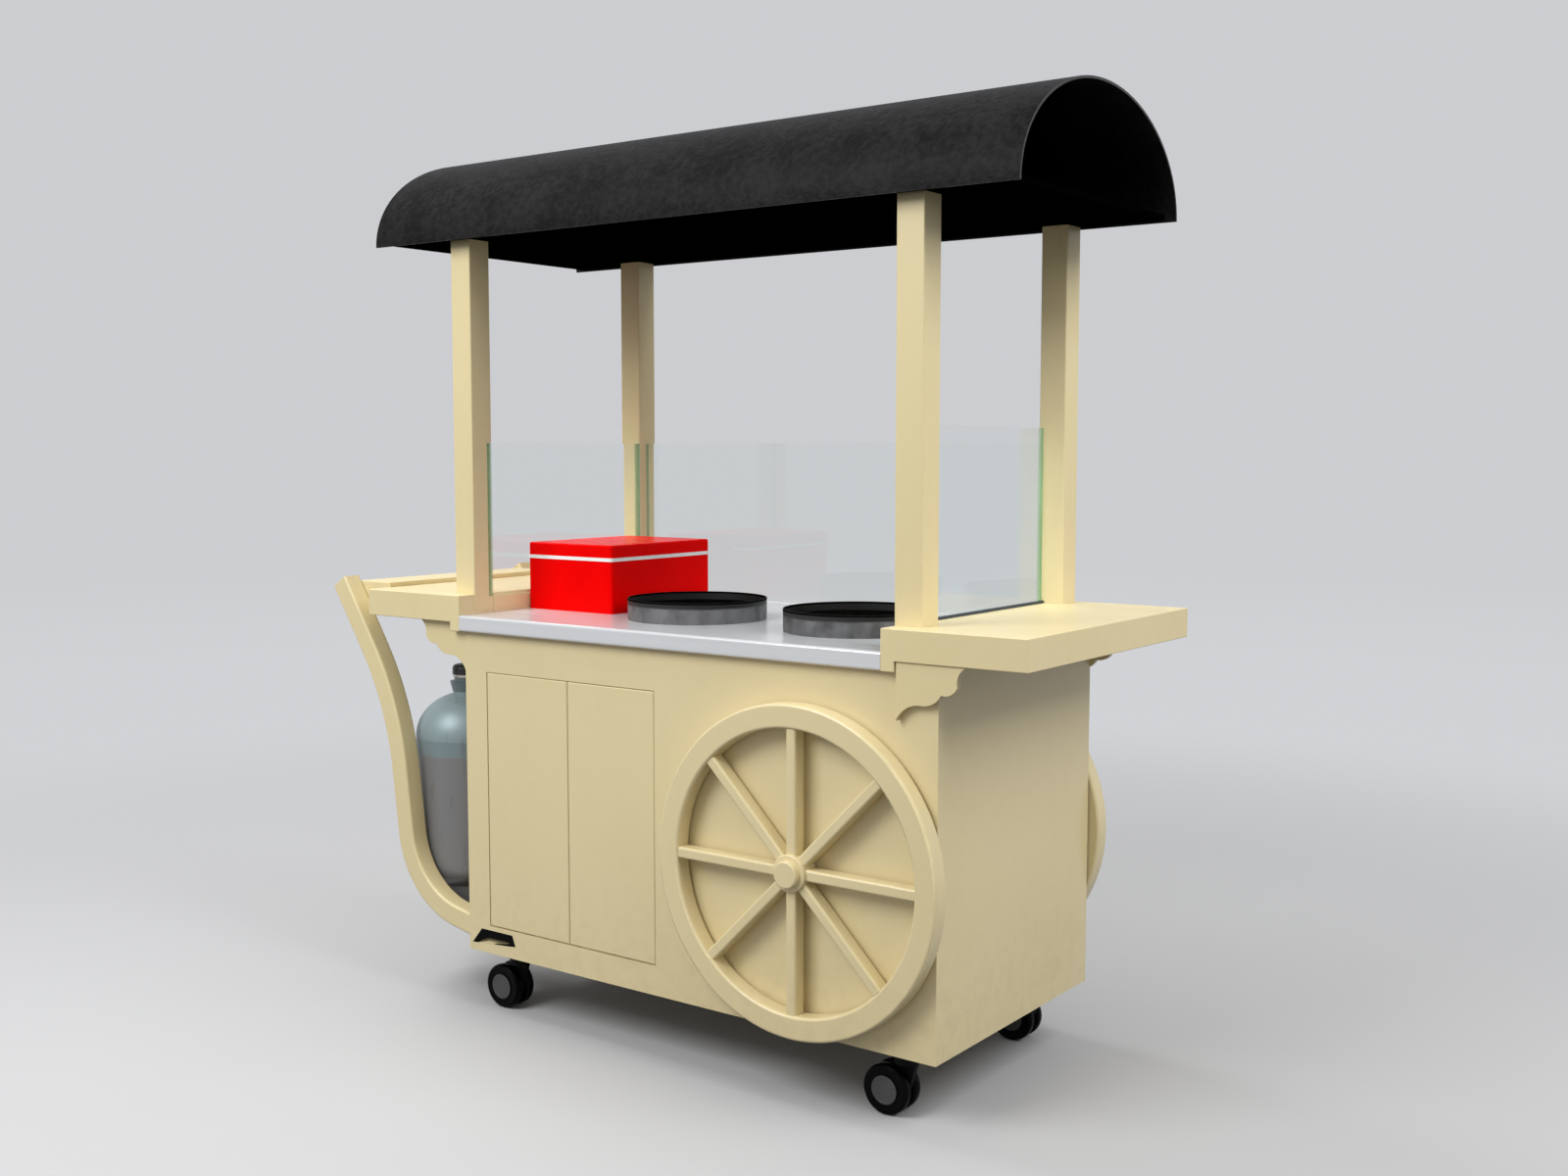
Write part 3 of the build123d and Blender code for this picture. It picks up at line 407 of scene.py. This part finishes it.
class CART_OT_paint_joinery(Operator):
    """Paint the cabinet, doors, shelves, posts, shafts and cart wheels cream"""

    bl_idname = "cart.paint_joinery"
    bl_label = "Paint joinery"

    def execute(self, context):
        choices = context.scene.cart_joinery
        panels = ("front_panel", "back_panel", "left_end_panel", "right_end_panel")
        doors = ("left_door", "right_door")
        wheels = [f"{face}_wheel_{part}" for face in ("front", "back") for part in ("rim", "spokes", "hub")]
        coat(cream_finish(choices, "cream_panel_paint", True, choices.varnish), *panels, *doors, *wheels)
        high_pieces = ("left_shelf", "right_shelf", "corbels", "push_bar")
        posts = [f"{end}_{side}_post" for end in ("front", "back") for side in ("left", "right")]
        inner = ("floor_board", "partition", "inner_shelf")
        shafts = ("front_shaft", "back_shaft")
        plain = cream_finish(choices, "cream_joinery_paint", False, 0.0)
        coat(plain, *high_pieces, *posts, *inner, *shafts)
        soften(choices.arris, *high_pieces)
        return {"FINISHED"}


# Worktop
def plywood_finish(choices):
    """Bare plywood, its plies showing as level bands on the edges."""
    finish = Finish("plywood_core")
    grain = finish.noise(6.0, 4.0, vector=finish.stretched((1.0, 14.0, 14.0)))
    plies = (finish.axis("Z") * 520.0).math("SINE") * 0.5 + 0.5
    pale = scaled(choices.plywood, 1.5)
    colour = finish.blend(choices.plywood, pale, grain * 0.6 + plies * 0.4)
    return finish.done(finish.surface(Base_Color=colour, Roughness=0.75, Normal=finish.bump(grain, 0.0002)))


def brushed_finish(name, colour, stretch, roughness, metallic=1.0):
    """Metal with fine marks, drawn out along the axis that has the smallest stretch."""
    finish = Finish(name)
    marks = finish.noise(1.0, 3.0, vector=finish.stretched(stretch))
    wipe = finish.noise(4.0, 3.0)
    dull = scaled(colour, 0.88)
    return finish.done(
        finish.surface(
            Base_Color=finish.blend(dull, colour, marks),
            Metallic=metallic,
            Roughness=roughness + marks * 0.10 + wipe * 0.08,
            Normal=finish.bump(marks, 0.00004),
        )
    )


class CART_OT_fit_worktop(Operator):
    """Give the worktop its brushed sheet over bare board"""

    bl_idname = "cart.fit_worktop"
    bl_label = "Fit worktop"

    def execute(self, context):
        coat(plywood_finish(context.scene.cart_joinery), "worktop_board")
        tint = context.scene.cart_metal.worktop
        sheet = brushed_finish("worktop_sheet_steel", tint, (3.0, 420.0, 420.0), 0.13, 0.32)
        coat(sheet, "worktop_sheet")
        return {"FINISHED"}


# Canopy
def canopy_finish(choices):
    """Black skin with a pebbled grain, paler clouded patches and a pale grey painted highlight along the
    cut edge at each end.
    """
    finish = Finish("canopy_skin")
    # Painted highlight: faces that look along X, which are the sheet's cut ends, turn pale grey
    painted_edge_highlight = finish.ease(finish.facing("X"), 0.7, 0.9)
    patches = finish.noise(7.0, 5.0, 0.60)
    pebbles = finish.grains(120.0)
    folds = finish.noise(66.0, 5.0, 0.62)
    relief = pebbles * 0.4 + folds * 0.6
    pale = finish.ease(patches * 0.45 + folds * 0.55, 0.38, 0.64)
    skin = finish.blend(choices.canopy, choices.canopy_bloom, pale)
    return finish.done(
        finish.surface(
            Base_Color=finish.blend(skin, choices.canopy_edge_highlight, painted_edge_highlight),
            Roughness=0.44 + patches * 0.14,
            Specular_IOR_Level=0.07,
            Normal=finish.bump(relief, 0.0016),
        )
    )


def black_board_and_shade_finish(choices):
    """Flat black brush paint, taken down to near zero with no shine as painted shade under the canopy."""
    finish = Finish("canopy_black_board")
    strokes = finish.noise(5.0, 3.0, vector=finish.stretched((1.0, 30.0, 30.0)))
    colour = finish.blend(choices.board, choices.board_strokes, strokes)
    return finish.done(
        finish.surface(
            Base_Color=colour, Roughness=0.9, Specular_IOR_Level=0.0, Normal=finish.bump(strokes, 0.0002)
        )
    )


class CART_OT_clad_canopy(Operator):
    """Clad the canopy in its grained black skin"""

    bl_idname = "cart.clad_canopy"
    bl_label = "Clad canopy"

    def execute(self, context):
        choices = context.scene.cart_plastic
        coat(canopy_finish(choices), "canopy_sheet")
        coat(black_board_and_shade_finish(choices), "canopy_soffit", "canopy_formers")
        return {"FINISHED"}


# Screens
def glass_finish(choices, name, face_axis, run_axis, ends, strip):
    """Clear screen with faint smears; its narrow edges are green, and the green strips along its upright
    ends are a painted reflection of those edges.
    """
    finish = Finish(name)
    painted_reflection_share = 0.62
    edge_cover = 0.85
    along = finish.axis(run_axis)
    # Painted reflection: green strips along both upright ends, where the edge would be seen inside the pane
    near_end_reflection = 1.0 - finish.ease(along, ends[0] + strip * 0.8, ends[0] + strip)
    far_end_reflection = finish.ease(along, ends[1] - strip, ends[1] - strip * 0.8)
    narrow = 1.0 - finish.ease(finish.facing(face_axis), 0.6, 0.95)
    edge = narrow.math("MAXIMUM", (near_end_reflection + far_end_reflection) * painted_reflection_share)
    smears = finish.noise(7.0, 4.0)
    pane = finish.surface(
        Base_Color=choices.glass,
        Roughness=finish.ease(smears, 0.5, 0.8) * 0.02,
        Transmission_Weight=1.0,
        IOR=1.45,
    )
    dark = scaled(choices.glass_edge_and_reflection, 0.5)
    rim = finish.surface(Base_Color=finish.blend(choices.glass_edge_and_reflection, dark, smears), Roughness=0.25)
    glass = finish.node("MixShader", None, {0: edge * edge_cover, 1: pane, 2: rim})
    clear = finish.node("BsdfTransparent", None, {"Color": opaque(choices.glass)})
    shadow = finish.node("LightPath", output="Is Shadow Ray")
    return finish.done(finish.node("MixShader", None, {0: shadow, 1: glass, 2: clear}))


class CART_OT_glaze_screens(Operator):
    """Glaze the three screens"""

    bl_idname = "cart.glaze_screens"
    bl_label = "Glaze screens"

    def execute(self, context):
        choices = context.scene.cart_plastic
        low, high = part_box("right_glass")
        side = glass_finish(choices, "side_screen_glass", "X", "Y", (low.y, high.y), choices.end_reflection_strip)
        coat(side, "left_glass", "right_glass")
        low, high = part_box("back_glass")
        back = glass_finish(choices, "back_screen_glass", "Y", "X", (low.x, high.x), choices.end_reflection_strip / 4)
        coat(back, "back_glass")
        return {"FINISHED"}


class CART_OT_bed_screen(Operator):
    """Bed the right screen on its shelf with a dark gasket along the outer foot"""

    bl_idname = "cart.bed_screen"
    bl_label = "Bed screen"

    def execute(self, context):
        choices = context.scene.cart_plastic
        post_gap = 0.0005
        pane_gap = 0.0006
        pane_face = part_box("right_glass")[1].x
        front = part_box("front_right_post")[1].y + post_gap
        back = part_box("back_right_post")[0].y - post_gap
        shelf_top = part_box("right_shelf")[1].z
        wide, tall = choices.gasket_width, choices.gasket_height
        start_alone()
        bpy.ops.mesh.primitive_cube_add(
            size=1.0,
            location=(pane_face + pane_gap + wide / 2, (front + back) / 2, shelf_top + tall / 2),
            scale=(wide, back - front, tall),
        )
        bpy.ops.object.transform_apply(location=True, rotation=True, scale=True)
        strip = context.object
        bpy.ops.object.mode_set(mode="EDIT")
        pick_edges(lambda a, b: min(a.z, b.z) > shelf_top + tall * 0.9 and abs(a.x - b.x) < tiny)
        bpy.ops.mesh.bevel(offset=wide * 0.35, segments=4, profile=0.5, affect="EDGES")
        bpy.ops.object.mode_set(mode="OBJECT")
        bpy.ops.object.shade_smooth_by_angle(angle=radians(35))
        strip.data.materials.append(moulded_finish("gasket_blue_grey", choices.gasket, 0.55))
        settle(strip, "right_glass_gasket", "cart", "black_plastic")
        return {"FINISHED"}


# Gas parts
def cylinder_finish(choices):
    """Cylinder paint in two tones, with a band of painted shade just above the colour line, scuffs and a
    worn foot.
    """
    finish = Finish("cylinder_two_tone_paint")
    line = choices.colour_line
    blur = 0.004
    shade_band_low = 0.036
    shade_band_high = 0.040
    height = finish.axis("Z")
    clouds = finish.noise(14.0, 5.0)
    ragged = height + clouds * blur
    upper = finish.ease(ragged, line, line + blur)
    scuffs = finish.ease(finish.noise(60.0, 4.0, vector=finish.stretched((1.0, 1.0, 0.15))), 0.60, 0.72)
    # Painted shade: the shoulder colour darkened in a band just above the colour line
    band = upper - finish.ease(ragged, line + shade_band_low, line + shade_band_high)
    deep = scaled(choices.shoulder, 0.80)
    colour = finish.blend(choices.vessel, finish.blend(choices.shoulder, deep, band), upper)
    worn = scaled(choices.vessel, 0.55)
    foot = 1.0 - finish.ease(height, 0.20, 0.30)
    colour = finish.blend(colour, worn, scuffs * 0.35 + foot * clouds * 0.6)
    return finish.done(
        finish.surface(
            Base_Color=colour,
            Metallic=0.15,
            Roughness=0.30 + upper * 0.06 + clouds * 0.10,
            Normal=finish.bump(clouds, 0.0003),
        )
    )


def valve_finish(choices):
    """Painted body, dull plated ring at the top."""
    finish = Finish("valve_plated_metal")
    ring_height = 0.0075
    blur = 0.001
    ring_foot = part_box("valve_handwheel")[0].z - ring_height
    bare = finish.ease(finish.axis("Z"), ring_foot, ring_foot + blur)
    wear = finish.noise(120.0, 4.0)
    dark = scaled(choices.shoulder, 0.55)
    plated = finish.blend(choices.ring, choices.worn_ring, wear)
    return finish.done(
        finish.surface(
            Base_Color=finish.blend(dark, plated, bare),
            Metallic=bare * 0.9,
            Roughness=0.35 + wear * 0.15,
            Normal=finish.bump(wear, 0.0001),
        )
    )


def moulded_finish(name, colour, roughness, shine=0.5):
    """Moulded plastic or paint with a fine even texture."""
    finish = Finish(name)
    grain = finish.noise(700.0, 2.0)
    clouds = finish.noise(18.0, 3.0)
    pale = scaled(colour, 1.25)
    return finish.done(
        finish.surface(
            Base_Color=finish.blend(colour, pale, finish.ease(clouds, 0.3, 0.8)),
            Roughness=roughness + clouds * 0.10,
            Specular_IOR_Level=shine,
            Normal=finish.bump(grain, 0.00006),
        )
    )


class CART_OT_finish_gas(Operator):
    """Finish the gas cylinder, its tray, the valve, the manifold, the knobs and the vent"""

    bl_idname = "cart.finish_gas"
    bl_label = "Finish gas parts"

    def execute(self, context):
        metal = context.scene.cart_metal
        plastic = context.scene.cart_plastic
        coat(cylinder_finish(metal), "gas_cylinder")
        coat(valve_finish(metal), "cylinder_valve")
        coat(moulded_finish("tray_black_paint", plastic.tray, 0.45), "cylinder_tray")
        knob = moulded_finish("knob_black_moulding", plastic.knob, 0.38)
        coat(knob, "valve_handwheel", "tap_knob_1", "tap_knob_2")
        # Vent hood: black moulding darkened to near zero with little shine, as painted shade in the opening
        coat(moulded_finish("vent_black_moulding_and_shade", plastic.vent, 0.60, 0.05), "vent_hood")
        coat(brushed_finish("manifold_brass", metal.brass, (40.0, 40.0, 40.0), 0.26), "gas_manifold")
        return {"FINISHED"}


# Casters

# Steps on a caster wheel's outer face, from the tyre inwards: width and rise of each, in metres
caster_steps = (
    (0.0030, -0.0012),
    (0.0110, 0.0),
    (0.0008, 0.0024),
    (0.0010, 0.0003),
    (0.0030, 0.0),
    (0.0006, -0.0005),
)


def tyre_finish(choices):
    """Black tyre with fine marks and a little dust."""
    finish = Finish("caster_tyre_black")
    marks = finish.noise(160.0, 4.0)
    dust = finish.noise(30.0, 4.0)
    dusty = scaled(choices.tyre, 3.0)
    return finish.done(
        finish.surface(
            Base_Color=finish.blend(choices.tyre, dusty, finish.ease(dust, 0.45, 0.85)),
            Roughness=0.24 + dust * 0.16,
            Specular_IOR_Level=0.06,
            Normal=finish.bump(marks, 0.00015),
        )
    )


def model_caster_wheel(centre, side, radius, width, gap, shoulder):
    """Model one wheel of a pair: rounded tyre, sunk web and raised hub disc, which stays selected."""
    axle_zone = 0.002
    disc_share = 0.57
    disc_depth = 0.0035
    start_alone()
    middle = centre + Vector((0, side * (gap + width / 2), 0))

    def from_axle(at):
        """Distance of a point from the axle's line."""
        return hypot(at.x - middle.x, at.z - middle.z)

    bpy.ops.mesh.primitive_cylinder_add(
        vertices=72, radius=radius, depth=width, location=middle, rotation=(pi / 2, 0, 0)
    )
    bpy.ops.object.transform_apply(location=True, rotation=True, scale=True)
    wheel = bpy.context.object
    bpy.ops.object.mode_set(mode="EDIT")
    pick_edges(lambda a, b: abs(a.y - b.y) < tiny)
    bpy.ops.mesh.bevel(offset=shoulder, segments=6, profile=0.5, affect="EDGES")
    outer = middle.y + side * width / 2
    pick_faces(lambda at, normal: abs(at.y - outer) < tiny and from_axle(at) < axle_zone)
    for thickness, depth in caster_steps:
        bpy.ops.mesh.inset(thickness=thickness, depth=depth)
    pick_faces(lambda at, normal: abs(at.y - outer) < disc_depth and from_axle(at) < radius * disc_share)
    return wheel


class CART_OT_model_casters(Operator):
    """Model the twin wheels of the casters and finish their yokes"""

    bl_idname = "cart.model_casters"
    bl_label = "Model casters"

    def execute(self, context):
        choices = context.scene.cart_plastic
        tyre = tyre_finish(choices)
        disc = moulded_finish("caster_hub_disc_grey", choices.hub_disc, 0.36, 0.3)
        yoke = moulded_finish("caster_yoke_grey", choices.moulding, 0.42, 0.08)
        coat(yoke, *[f"{corner}_caster_yoke" for corner in corners])
        low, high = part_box("front_left_caster_wheels")
        first = (low + high) / 2
        radius = (high.z - low.z) / 2
        gap = 0.007
        disc_room = 0.0015
        width = (high.y - low.y) / 2 - gap - disc_room
        halves = []
        for side in (-1, 1):
            half = model_caster_wheel(first, side, radius, width, gap, choices.tyre_round)
            bpy.ops.object.mode_set(mode="OBJECT")
            half.data.materials.append(tyre)
            half.data.materials.append(disc)
            for face in half.data.polygons:
                face.material_index = int(face.select)
            halves.append(half)
        pair = join_all(halves)
        bpy.ops.object.shade_smooth_by_angle(angle=radians(32))
        pairs = {"front_left": pair}
        for corner in corners[1:]:
            box_low, box_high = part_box(f"{corner}_caster_wheels")
            pairs[corner] = copy_moved(pair, (box_low + box_high) / 2 - first)
        for corner, made in pairs.items():
            caster = f"{corner}_caster"
            settle(made, f"{corner}_twin_wheels", f"{caster}_roller", "caster_black", f"{caster}_wheels")
        return {"FINISHED"}


# Cool box
def gloss_finish(name, colour, roughness):
    """Shiny moulded plastic with a slight orange peel and hairline scuffs."""
    finish = Finish(name)
    peel = finish.noise(170.0, 2.0)
    clouds = finish.noise(9.0, 4.0)
    scuffs = finish.ease(finish.noise(22.0, 5.0, vector=finish.stretched((1.0, 1.0, 9.0))), 0.62, 0.70)
    deep = scaled(colour, 0.93)
    return finish.done(
        finish.surface(
            Base_Color=finish.blend(colour, deep, finish.ease(clouds, 0.35, 0.8)),
            Roughness=roughness + clouds * 0.05 + scuffs * 0.06,
            Specular_IOR_Level=0.02,
            Normal=finish.bump(peel, 0.00006),
        )
    )


class CART_OT_finish_cool_box(Operator):
    """Finish the cool box in red with its white band"""

    bl_idname = "cart.finish_cool_box"
    bl_label = "Finish cool box"

    def execute(self, context):
        choices = context.scene.cart_plastic
        coat(gloss_finish("cool_box_red", choices.box_red, 0.24), "cool_box_body", "cool_box_lid")
        coat(gloss_finish("cool_box_white_band", choices.band, 0.30), "cool_box_seal")
        return {"FINISHED"}


# Griddles
def drum_finish(choices):
    """Steel drum streaked by heat, black inside and along the top."""
    finish = Finish("griddle_drum_steel")
    skin = 0.0006
    soot_low = 0.014
    soot_high = 0.009
    ragged = 0.004
    streaks = finish.noise(1.0, 4.0, 0.55, vector=finish.stretched((17.0, 17.0, 9.0)))
    clouds = finish.noise(21.0, 4.0)
    dark = scaled(choices.drum, 0.35)
    pale = scaled(choices.drum, 1.25)
    colour = finish.blend(dark, pale, finish.ease(streaks * 0.6 + clouds * 0.4, 0.32, 0.66))
    low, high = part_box("griddle_rings")
    middle = (low + high) / 2
    radius = (high.y - low.y) / 2
    along = abs(finish.axis("X") - middle.x) - ((high.x - low.x) / 2 - radius)
    across = finish.axis("Y") - middle.y
    out = (along * along + across * across).math("SQRT")
    inside = 1.0 - finish.ease(out, radius - 2 * skin, radius - skin)
    band = finish.ease(finish.axis("Z") + clouds * ragged, high.z - soot_low, high.z - soot_high)
    sooty = inside.math("MAXIMUM", band)
    colour = finish.blend(colour, choices.iron, sooty)
    return finish.done(
        finish.surface(
            Base_Color=colour,
            Metallic=0.55 - sooty * 0.55,
            Roughness=0.42 + streaks * 0.2,
            Normal=finish.bump(streaks, 0.0002),
        )
    )


def iron_finish(choices):
    """Seasoned iron: black with oily patches."""
    finish = Finish("griddle_seasoned_iron")
    patches = finish.noise(16.0, 5.0, 0.6)
    pits = finish.noise(330.0, 3.0)
    pale = scaled(choices.iron, 2.6)
    return finish.done(
        finish.surface(
            Base_Color=finish.blend(choices.iron, pale, finish.ease(patches, 0.4, 0.8)),
            Roughness=0.50 + patches * 0.26,
            Specular_IOR_Level=0.0,
            Normal=finish.bump(pits, 0.0002),
        )
    )


class CART_OT_season_griddles(Operator):
    """Finish the griddles and roll a black bead round each drum"""

    bl_idname = "cart.season_griddles"
    bl_label = "Season griddles"

    def execute(self, context):
        metal = context.scene.cart_metal
        coat(drum_finish(metal), "griddle_rings")
        iron = iron_finish(metal)
        coat(iron, "griddle_plates", "burners")
        low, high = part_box("griddle_rings")
        radius = (high.y - low.y) / 2
        wall = 0.003
        middle_y = (low.y + high.y) / 2
        start_alone()
        bpy.ops.mesh.primitive_circle_add(
            vertices=128,
            radius=radius - wall / 2,
            location=(low.x + radius, middle_y, high.z - metal.bead),
        )
        bead = context.object
        bpy.ops.object.transform_apply(location=True, rotation=True, scale=True)
        bpy.ops.object.mode_set(mode="EDIT")
        bpy.ops.mesh.select_mode(type="EDGE")
        bpy.ops.mesh.select_all(action="SELECT")
        bpy.ops.mesh.extrude_region_move(TRANSFORM_OT_translate={"value": (0, 0, metal.bead)})
        bpy.ops.mesh.select_all(action="SELECT")
        bpy.ops.mesh.normals_make_consistent(inside=False)
        bpy.ops.object.mode_set(mode="OBJECT")
        wall_maker = bead.modifiers.new("wall", "SOLIDIFY")
        wall_maker.thickness = wall * 1.5
        wall_maker.offset = 0.0
        rounder = bead.modifiers.new("round", "BEVEL")
        rounder.width = wall * 0.5
        rounder.segments = 3
        for name in ("wall", "round"):
            bpy.ops.object.modifier_apply(modifier=name)
        bpy.ops.object.shade_smooth_by_angle(angle=radians(50))
        bead.data.materials.append(iron)
        other = copy_moved(bead, (high.x - low.x - 2 * radius, 0, 0))
        settle(other, "right_griddle_bead", "cart", "griddle_iron")
        settle(bead, "left_griddle_bead", "cart", "griddle_iron")
        return {"FINISHED"}


# Ironmongery
class CART_OT_fix_ironmongery(Operator):
    """Finish pins, plates and axles, and bolt the caster plates on"""

    bl_idname = "cart.fix_ironmongery"
    bl_label = "Fix ironmongery"

    def execute(self, context):
        metal = context.scene.cart_metal
        zinc = brushed_finish("zinc_plate", metal.zinc, (60.0, 60.0, 60.0), 0.32)
        coat(zinc, "door_pivots", "caster_plates", "wheel_axles", "cool_box_hinge_pin")
        plate_thickness = 0.004
        plate_half = 0.039
        washer = 0.0016
        washer_spread = 1.5
        head = 0.0050
        head_radius = 0.0064
        crown_inset = 0.0008
        crown_rise = 0.0005
        neck_inset = 0.0006
        low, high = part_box("caster_plates")
        plate_bottom = high.z - plate_thickness
        half = metal.bolt_spacing / 2
        bolts = []
        for x in (low.x + plate_half, high.x - plate_half):
            for y in (low.y + plate_half, high.y - plate_half):
                bolts += [(x + dx, y + dy) for dx in (-half, half) for dy in (-half, half)]
        start_alone()
        x, y = bolts[0]
        bpy.ops.mesh.primitive_cylinder_add(
            vertices=6, radius=head_radius, depth=head, location=(x, y, plate_bottom - washer - head / 2)
        )
        bolt = context.object
        bpy.ops.object.transform_apply(location=True, rotation=True, scale=True)
        bpy.ops.object.mode_set(mode="EDIT")
        pick_faces(lambda at, normal: normal.z < -0.9)
        bpy.ops.mesh.inset(thickness=crown_inset, depth=crown_rise)
        pick_faces(lambda at, normal: normal.z > 0.9)
        bpy.ops.mesh.inset(thickness=neck_inset, depth=0.0)
        bpy.ops.mesh.extrude_region_move(TRANSFORM_OT_translate={"value": (0, 0, washer)})
        bpy.ops.transform.resize(
            value=(washer_spread, washer_spread, 1.0), center_override=(x, y, plate_bottom)
        )
        bpy.ops.object.mode_set(mode="OBJECT")
        bolt.data.materials.append(zinc)
        copies = [copy_moved(bolt, (bx - x, by - y, 0)) for bx, by in bolts[1:]]
        settle(join_all([bolt, *copies]), "caster_bolts", "cart", "plain_steel")
        return {"FINISHED"}


# Stage
def floor_finish(choices):
    """Pale floor that takes the cart's shadow and fades into the backdrop far out."""
    finish = Finish("studio_floor")
    near_glow = 1.06
    far_glow = 1.0
    glow_near, glow_far = 4.0, 16.0
    fade_near, fade_far = 1.1, 4.4
    reach = finish.node("VectorMath", {"operation": "LENGTH"}, {0: finish.place}, "Value")
    looked_at = finish.looked_at()
    grain = finish.noise(3.0, 3.0)
    pale = scaled(choices.floor, 1.02)
    dull = scaled(choices.floor, 0.2)
    tone = finish.blend(dull, finish.blend(choices.floor, pale, grain), looked_at)
    ground = finish.surface(Base_Color=tone, Roughness=0.9, Specular_IOR_Level=0.0)
    near = finish.node("Emission", None, {"Color": opaque(choices.backdrop), "Strength": near_glow})
    far = finish.node("Emission", None, {"Color": opaque(choices.backdrop), "Strength": far_glow})
    glow = finish.node("MixShader", None, {0: finish.ease(reach, glow_near, glow_far), 1: near, 2: far})
    fade = finish.ease(reach, fade_near, fade_far) * looked_at
    return finish.done(finish.node("MixShader", None, {0: fade, 1: ground, 2: glow}))


def light_world(choices):
    """Even light all round; the backdrop tone where it is looked at."""
    studio = Finish("studio_world", world=True)
    even = studio.node("Background", None, {"Color": opaque(choices.fill_tint), "Strength": choices.fill})
    backdrop = studio.node("Background", None, {"Color": opaque(choices.backdrop)})
    shown = studio.node("MixShader", None, {0: studio.looked_at(), 1: even, 2: backdrop})
    bpy.context.scene.world = studio.done(shown)


class CART_OT_set_stage(Operator):
    """Set the floor, the surrounding light, the lamps and the camera"""

    bl_idname = "cart.set_stage"
    bl_label = "Set stage"

    def execute(self, context):
        choices = context.scene.cart_stage
        start_alone()
        bpy.ops.mesh.primitive_plane_add(size=2 * choices.floor_reach, location=(0, 0, 0))
        floor = context.object
        floor.name = "studio_floor"
        floor.data.materials.append(floor_finish(choices))
        light_world(choices)
        for name, place, power in (
            ("front_lamp", (-1.0, -3.4, 3.8), choices.key),
            ("left_lamp", (-2.9, 0.2, 4.4), choices.left),
            ("right_lamp", (3.5, -0.1, 3.8), choices.right),
        ):
            bpy.ops.object.light_add(type="AREA", location=place)
            lamp = context.object
            lamp.name = name
            lamp.data.energy = power
            lamp.data.size = choices.lamp_size
            lamp.visible_glossy = name == "front_lamp"
            aim = Vector((0.0, 0.0, choices.aim_height)) - lamp.location
            lamp.rotation_euler = aim.to_track_quat("-Z", "Y").to_euler()
        bpy.ops.object.camera_add(location=choices.eye, rotation=(pi / 2 - choices.tilt, 0, choices.turn))
        camera = context.object
        camera.data.sensor_width = choices.sensor
        camera.data.lens = choices.lens
        context.scene.camera = camera
        context.scene.view_settings.view_transform = "Standard"
        return {"FINISHED"}


# Steps, panel and registration
operators = (
    CART_OT_set_stage,
    CART_OT_paint_joinery,
    CART_OT_fit_worktop,
    CART_OT_clad_canopy,
    CART_OT_glaze_screens,
    CART_OT_bed_screen,
    CART_OT_finish_gas,
    CART_OT_model_casters,
    CART_OT_finish_cool_box,
    CART_OT_season_griddles,
    CART_OT_fix_ironmongery,
)


class CART_PT_looks(Panel):
    """Lists the steps that dress the cart"""

    bl_idname = "CART_PT_looks"
    bl_label = "Pancake cart"
    bl_space_type = "VIEW_3D"
    bl_region_type = "UI"
    bl_category = "Pancake cart"

    def draw(self, context):
        for step in operators:
            self.layout.operator(step.bl_idname)


choice_groups = {
    "cart_joinery": JoineryChoices,
    "cart_metal": MetalChoices,
    "cart_plastic": PlasticChoices,
    "cart_stage": StageChoices,
}


def register():
    """Register the choices, the steps and the panel."""
    for group in choice_groups.values():
        bpy.utils.register_class(group)
    for step in (*operators, CART_PT_looks):
        bpy.utils.register_class(step)
    for name, group in choice_groups.items():
        setattr(bpy.types.Scene, name, PointerProperty(type=group))


def unregister():
    """Take the choices, the steps and the panel out again."""
    for name in choice_groups:
        delattr(bpy.types.Scene, name)
    for step in (CART_PT_looks, *reversed(operators)):
        bpy.utils.unregister_class(step)
    for group in choice_groups.values():
        bpy.utils.unregister_class(group)


def main():
    """Dress the cart step by step."""
    register()
    bpy.ops.cart.set_stage()
    bpy.ops.cart.paint_joinery()
    bpy.ops.cart.fit_worktop()
    bpy.ops.cart.clad_canopy()
    bpy.ops.cart.glaze_screens()
    bpy.ops.cart.bed_screen()
    bpy.ops.cart.finish_gas()
    bpy.ops.cart.model_casters()
    bpy.ops.cart.finish_cool_box()
    bpy.ops.cart.season_griddles()
    bpy.ops.cart.fix_ironmongery()
    start_alone()


if __name__ == "__main__":
    main()
